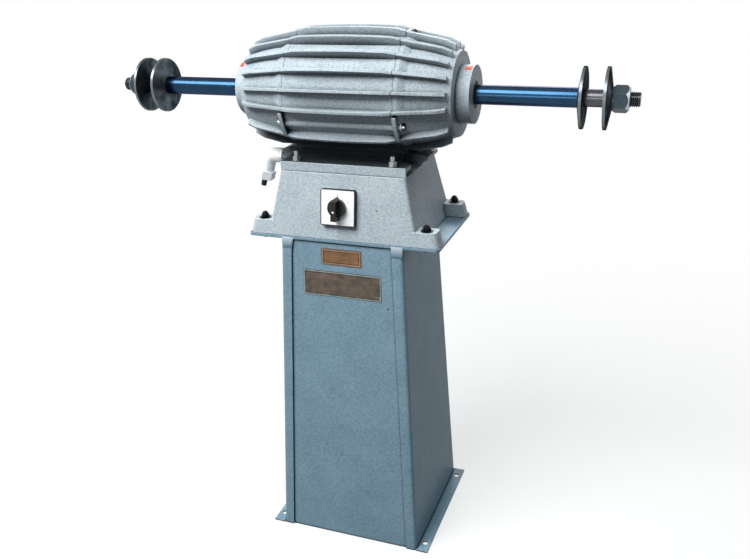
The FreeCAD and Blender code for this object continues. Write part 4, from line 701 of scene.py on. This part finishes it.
# Each plate is pressed with a bright rim and a darker border inside it, in mm from its edge.
rimShape = {"rimHeight": 0.25, "borderHeight": 0.125,
            "large": {"edge": 0.5, "rim": 1.1, "border": 2.6},
            "small": {"edge": 2.0, "rim": 0.9, "border": 2.0}}
for plate in ("large", "small"):
    shape = rimShape[plate]
    nodeName = plate + "_label_plate"
    side = flatSide(nodeName, (0, -1, 0.06))
    low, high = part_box(nodeName)
    width = (high[0] - low[0]) / mm - 2 * shape["edge"]
    height = (high[2] - low[2]) / mm - 2 * shape["edge"]
    inside = 2 * shape["rim"]
    rim = rectangleRing(side, width, height, shape["rim"], rimShape["rimHeight"])
    border = rectangleRing(side, width - inside, height - inside, shape["border"],
                           rimShape["borderHeight"])
    newPiece(plate + "_plate_rim", *rim, plateFinishes[plate]["rim"], "stand", "bronze_plate")
    newPiece(plate + "_plate_border", *border, plateFinishes[plate]["border"], "stand",
             "bronze_plate")


print("spindle with threads")
# The shaft is the CAD's, step for step in mm from its middle, with a real thread cut at each end:
# right-hand on the right, left-hand on the left. Each step is a place and a radius.
spindleShape = {
    "steps": [(65, 22), (65, 20), (187, 20), (187, 17.5), (204, 17.5), (204, 16), (378, 16),
              (378, 14), (427, 14)],
    "threadStart": 427, "end": 473, "crest": 12, "endRadius": 10, "pitch": 3, "depth": 1.5,
    "flankSlope": 1.3, "rootFlat": 0.15, "runIn": 3, "rowsPerPitch": 10, "around": 48,
}


def threadRadius(x, turn, hand):
    # the thread's radius in mm at a distance from the middle and a share of a turn
    shape = spindleShape
    phase = (x / shape["pitch"] - hand * turn) % 1
    flank = min(1, max(0, abs(2 * phase - 1) * shape["flankSlope"] - shape["rootFlat"]))
    runIn = min(1, max(0, (x - shape["threadStart"]) / shape["runIn"]))
    radius = shape["crest"] - shape["depth"] * (1 - flank) * runIn
    return min(radius, shape["endRadius"] + shape["end"] - x)


rings = []
threadLength = spindleShape["end"] - spindleShape["threadStart"]
rows = round(threadLength / spindleShape["pitch"] * spindleShape["rowsPerPitch"])
for hand in (-1, 1):
    ends = [(x, lambda turn, r=r: r) for x, r in spindleShape["steps"]]
    for row in range(rows + 1):
        x = spindleShape["threadStart"] + threadLength * row / rows
        ends.append((x, lambda turn, x=x, hand=hand: threadRadius(x, turn, hand)))
    side = [(hand * x, radius) for x, radius in ends]
    rings += side[::-1] if hand < 0 else side
count = spindleShape["around"]
points, faces = [], []
for x, radius in rings:
    for i in range(count):
        turn = i / count
        r = radius(turn) * mm
        a = 2 * math.pi * turn
        points.append(spindleAxis + Vector((x * mm, r * math.cos(a), r * math.sin(a))))
for ring in range(len(rings) - 1):
    low, high = ring * count, (ring + 1) * count
    faces += [(low + i, low + (i + 1) % count, high + (i + 1) % count, high + i)
              for i in range(count)]
faces += [tuple(range(count)), tuple(range(len(points) - count, len(points)))]
spindlePiece = newPiece("threaded_spindle", points, faces, finishes["blued_steel"], "rotor",
                        "blued_steel", sharpAngle=35)
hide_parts("spindle")


print("spindle nuts")
# Heavy hexagon nuts in mm, with a chamfer at both ends that leaves each flat a round outline;
# chamferRun is how far it goes along the nut for each mm that it takes off a corner.
nutShape = {"start": 430, "end": 457, "acrossFlats": 38, "bore": 12.3, "faceRadius": 17.6,
            "chamferRun": 0.55 / 0.45, "around": 96}
for sideName, hand in (("left", -1), ("right", 1)):
    points, faces = [], []
    start, end, bore, face = (nutShape[k] for k in ("start", "end", "bore", "faceRadius"))
    for i in range(nutShape["around"]):
        turn = 2 * math.pi * i / nutShape["around"]
        fromFlat = (turn + math.pi / 6) % (math.pi / 3) - math.pi / 6
        flat = nutShape["acrossFlats"] / 2 / math.cos(fromFlat)
        depth = (flat - face) * nutShape["chamferRun"]
        for x, radius in ((start, bore), (start, face), (start + depth, flat),
                          (end - depth, flat), (end, face), (end, bore)):
            spot = Vector((hand * x, radius * math.cos(turn), radius * math.sin(turn)))
            points.append(spindleAxis + spot * mm)
    for i in range(nutShape["around"]):
        here, there = 6 * i, 6 * ((i + 1) % nutShape["around"])
        faces += [(here + k, there + k, there + (k + 1) % 6, here + (k + 1) % 6) for k in range(6)]
    nutPiece = newPiece(sideName + "_chamfered_nut", points, faces, finishes["nut_steel"],
                        sideName + "_nut", "nut_steel", sharpAngle=20)
    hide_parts(sideName + "_spindle_nut")


def bentPatch(inner, outer):
    # a closed patch from two grids of points, one over the other
    rows, columns = len(inner), len(inner[0])
    points = [p for grid in (inner, outer) for row in grid for p in row]
    layer = rows * columns
    faces = []
    for row in range(rows - 1):
        for column in range(columns - 1):
            i = row * columns + column
            faces += [(i, i + 1, i + columns + 1, i + columns),
                      (layer + i, layer + i + columns, layer + i + columns + 1, layer + i + 1)]
    border = [(0, c) for c in range(columns)] + [(r, columns - 1) for r in range(1, rows)]
    border += [(rows - 1, c) for c in range(columns - 2, -1, -1)]
    border += [(r, 0) for r in range(rows - 2, 0, -1)]
    loop = [r * columns + c for r, c in border]
    for here, there in zip(loop, loop[1:] + loop[:1]):
        faces.append((here, there, layer + there, layer + here))
    return points, faces


print("stickers on the bearing necks")
# red patches in mm on the top of each neck, turned a little to the front
stickers = {"neckRadius": 48, "thickness": 0.25, "rows": 10,
            "right": {"from": 198, "to": 209, "startAngle": 5, "endAngle": 26},
            "left": {"from": -211, "to": -203, "startAngle": 5, "endAngle": 32}}
for sideName in ("left", "right"):
    patch = stickers[sideName]
    grids = []
    span = patch["endAngle"] - patch["startAngle"]
    for radius in (stickers["neckRadius"] - seat, stickers["neckRadius"] + stickers["thickness"]):
        grid = []
        for row in range(stickers["rows"] + 1):
            a = math.radians(patch["startAngle"] + span * row / stickers["rows"])
            grid.append([spindleAxis + Vector((x, -math.sin(a) * radius, math.cos(a) * radius)) * mm
                         for x in (patch["from"], patch["to"])])
        grids.append(grid)
    newPiece(sideName + "_neck_sticker", *bentPatch(*grids), redVinyl, "stand", "black_plastic",
             sharpAngle=30)


print("ground welds")
# Where each front strip meets the top plate, the weld is ground nearly flush, in mm.
welds = {"plateEdge": -106.0, "slope": 33 / 605, "plateZ": 605, "top": 608.5, "proud": 0.12,
         "sunk": 0.1, "rows": 8, "columns": 8, "riseUp": 0.6, "riseAcross": 0.4,
         "left": {"outerX": -112.5, "innerTop": -90.5, "innerLow": -93.5, "low": 588.0},
         "right": {"outerX": 114.5, "innerTop": 93.0, "innerLow": 94.0, "low": 588.0}}
for sideName in ("left", "right"):
    weld = welds[sideName]
    grids = []
    for proud in (-welds["sunk"], welds["proud"]):
        grid = []
        for row in range(welds["rows"] + 1):
            up = row / welds["rows"]
            z = weld["low"] + (welds["top"] - weld["low"]) * up
            inner = weld["innerLow"] + (weld["innerTop"] - weld["innerLow"]) * up
            line = []
            for column in range(welds["columns"] + 1):
                along = column / welds["columns"]
                x = weld["outerX"] + (inner - weld["outerX"]) * along
                bulge = 1
                if proud > 0:
                    bulge = (math.sin(math.pi * up) ** welds["riseUp"]
                             * math.sin(math.pi * along) ** welds["riseAcross"])
                lean = max(0, welds["plateZ"] - z) * welds["slope"]
                y = welds["plateEdge"] - lean - proud * bulge
                line.append(Vector((x, y, z)) * mm)
            grid.append(line)
        grids.append(grid)
    newPiece(sideName + "_ground_weld", *bentPatch(*grids), weldFinish, "stand",
             "blue_grey_hammer_paint", sharpAngle=60)


print("chips in the enamel")
# Each chip shows the dark primer: the part it is on, its place in mm and its radius. Its outline
# wobbles a little, so that no chip is a plain disc.
chips = {"steps": 14, "wobble": 0.18, "lobes": 5, "thickness": 0.06,
         "places": [("hopper", (65.7, -102.6, 667.1), 1.3),
                    ("front_panel", (86.7, -112.2, 492.1), 1.5),
                    ("front_panel", (71.3, -124.5, 265.8), 1.2)]}
chipMeshes = []
for nodeName, place, radius in chips["places"]:
    circle = circlePoints(0, 0, radius, chips["steps"])
    outline = [(x * (1 + chips["wobble"] * math.sin(chips["lobes"] * i)), y)
               for i, (x, y) in enumerate(circle)]
    chipMeshes.append(raised(nearestSide(nodeName, place), outline, chips["thickness"]))
newPiece("enamel_chips", *joined(chipMeshes), chipPrimer, "stand", "black_plastic")


print("studio")
# A pale floor that keeps the shadow near the object and turns plain white further out, under a
# white world. Only the eye, mirrors and glass see them so; on the object they throw the light of
# a darker floor and a pale blue sky.
studio = {
    "floorSize": 40, "floorSides": 96, "floorTone": "#e9eaea", "floorSpeckle": "#f4f4f4",
    "speckle": 6,
    "whiteFrom": 0.8, "whiteTo": 2.0, "shadowShare": 0.35, "unseenFloor": "#34373a",
    "skyColour": "#b9d2e4", "skyTop": 0.17, "skySide": 0.04, "skyFrom": -0.1,
}


def seenDirectly(tree):
    # 1 for the rays of the camera, mirrors and glass
    paths = addNode(tree, "ShaderNodeLightPath")
    seen = addNode(tree, "ShaderNodeMath", {"operation": "MAXIMUM"}, {
        0: paths.outputs["Is Camera Ray"], 1: paths.outputs["Is Glossy Ray"]})
    return addNode(tree, "ShaderNodeMath", {"operation": "MAXIMUM"}, {
        0: seen, 1: paths.outputs["Is Transmission Ray"]})


floorMesh = bpy.data.meshes.new("floor")
disc = bmesh.new()
bmesh.ops.create_circle(disc, cap_ends=True, segments=studio["floorSides"],
                        radius=studio["floorSize"])
disc.to_mesh(floorMesh)
disc.free()
floor = bpy.data.objects.new("floor", floorMesh)
scene.collection.objects.link(floor)
material, tree, place = startMaterial("paleStudioFloor")
away = addNode(tree, "ShaderNodeVectorMath", {"operation": "LENGTH"}, {0: place})
fade = addNode(tree, "ShaderNodeMapRange", {
    "interpolation_type": "SMOOTHSTEP",
    "From Min": studio["whiteFrom"], "From Max": studio["whiteTo"],
    "To Min": 1 - studio["shadowShare"], "To Max": 1}, {"Value": away.outputs["Value"]})
speckle = addNode(tree, "ShaderNodeTexNoise", {
    "Scale": perMetre(studio["speckle"]), "Detail": 4}, {"Vector": place})
tone = addNode(tree, "ShaderNodeMixRGB", {
    "Color1": studio["floorTone"], "Color2": studio["floorSpeckle"]}, {"Fac": speckle})
pale = addNode(tree, "ShaderNodeBsdfDiffuse", links={"Color": tone})
glow = addNode(tree, "ShaderNodeEmission", {"Strength": 1.0})
shown = addNode(tree, "ShaderNodeMixShader", links={0: fade, 1: pale, 2: glow})
dull = addNode(tree, "ShaderNodeBsdfDiffuse", {"Color": studio["unseenFloor"]})
whole = addNode(tree, "ShaderNodeMixShader", links={0: seenDirectly(tree), 1: dull, 2: shown})
addNode(tree, "ShaderNodeOutputMaterial", links={"Surface": whole})
floorMesh.materials.append(material)

world = bpy.data.worlds.new("studioWorld")
scene.world = world
world.use_nodes = True
tree = world.node_tree
tree.nodes.clear()
seen = seenDirectly(tree)
direction = addNode(tree, "ShaderNodeTexCoord")
parts = addNode(tree, "ShaderNodeSeparateXYZ", links={"Vector": direction.outputs["Generated"]})
sky = addNode(tree, "ShaderNodeMapRange", {
    "From Min": studio["skyFrom"], "From Max": 1.0,
    "To Min": studio["skySide"], "To Max": studio["skyTop"]}, {"Value": parts.outputs["Z"]})
level = addNode(tree, "ShaderNodeMix", {"data_type": "FLOAT", "B": 1.0},
                {"Factor": seen, "A": sky})
skyColour = addNode(tree, "ShaderNodeMixRGB", {
    "Color1": studio["skyColour"], "Color2": "#ffffff"}, {"Fac": seen})
background = addNode(tree, "ShaderNodeBackground", links={"Strength": level, "Color": skyColour})
addNode(tree, "ShaderNodeOutputWorld", links={"Surface": background})

lamps = {
    # a long soft box above and to the left, wide enough for the whole shaft to catch it
    "keyLamp": {"place": (-1.15, -1.6, 2.9), "aim": (-1.15, 0, 0.75), "size": (2.5, 1.5),
                "power": 154},
    # a weak fill for the front, and one for the right side
    "frontLamp": {"place": (-0.2, -3.2, 1.2), "aim": (0, 0, 0.7), "size": (0.7, 0.7),
                  "power": 9},
    "sideLamp": {"place": (2.7, 0.5, 1.5), "aim": (0, 0, 0.6), "size": (0.9, 0.9),
                 "power": 13},
    # a soft light for the back
    "backLamp": {"place": (-0.3, 2.7, 2.3), "aim": (0, 0, 0.7), "size": (1.4, 1.0),
                 "power": 48},
}
for lampName, lamp in lamps.items():
    lampData = bpy.data.lights.new(lampName, "AREA")
    lampData.shape = "RECTANGLE"
    lampData.size, lampData.size_y = lamp["size"]
    lampData.energy = lamp["power"]
    lampObject = bpy.data.objects.new(lampName, lampData)
    aim = (Vector(lamp["aim"]) - Vector(lamp["place"])).to_track_quat("-Z", "Y")
    lampObject.matrix_world = Matrix.Translation(lamp["place"]) @ aim.to_matrix().to_4x4()
    scene.collection.objects.link(lampObject)
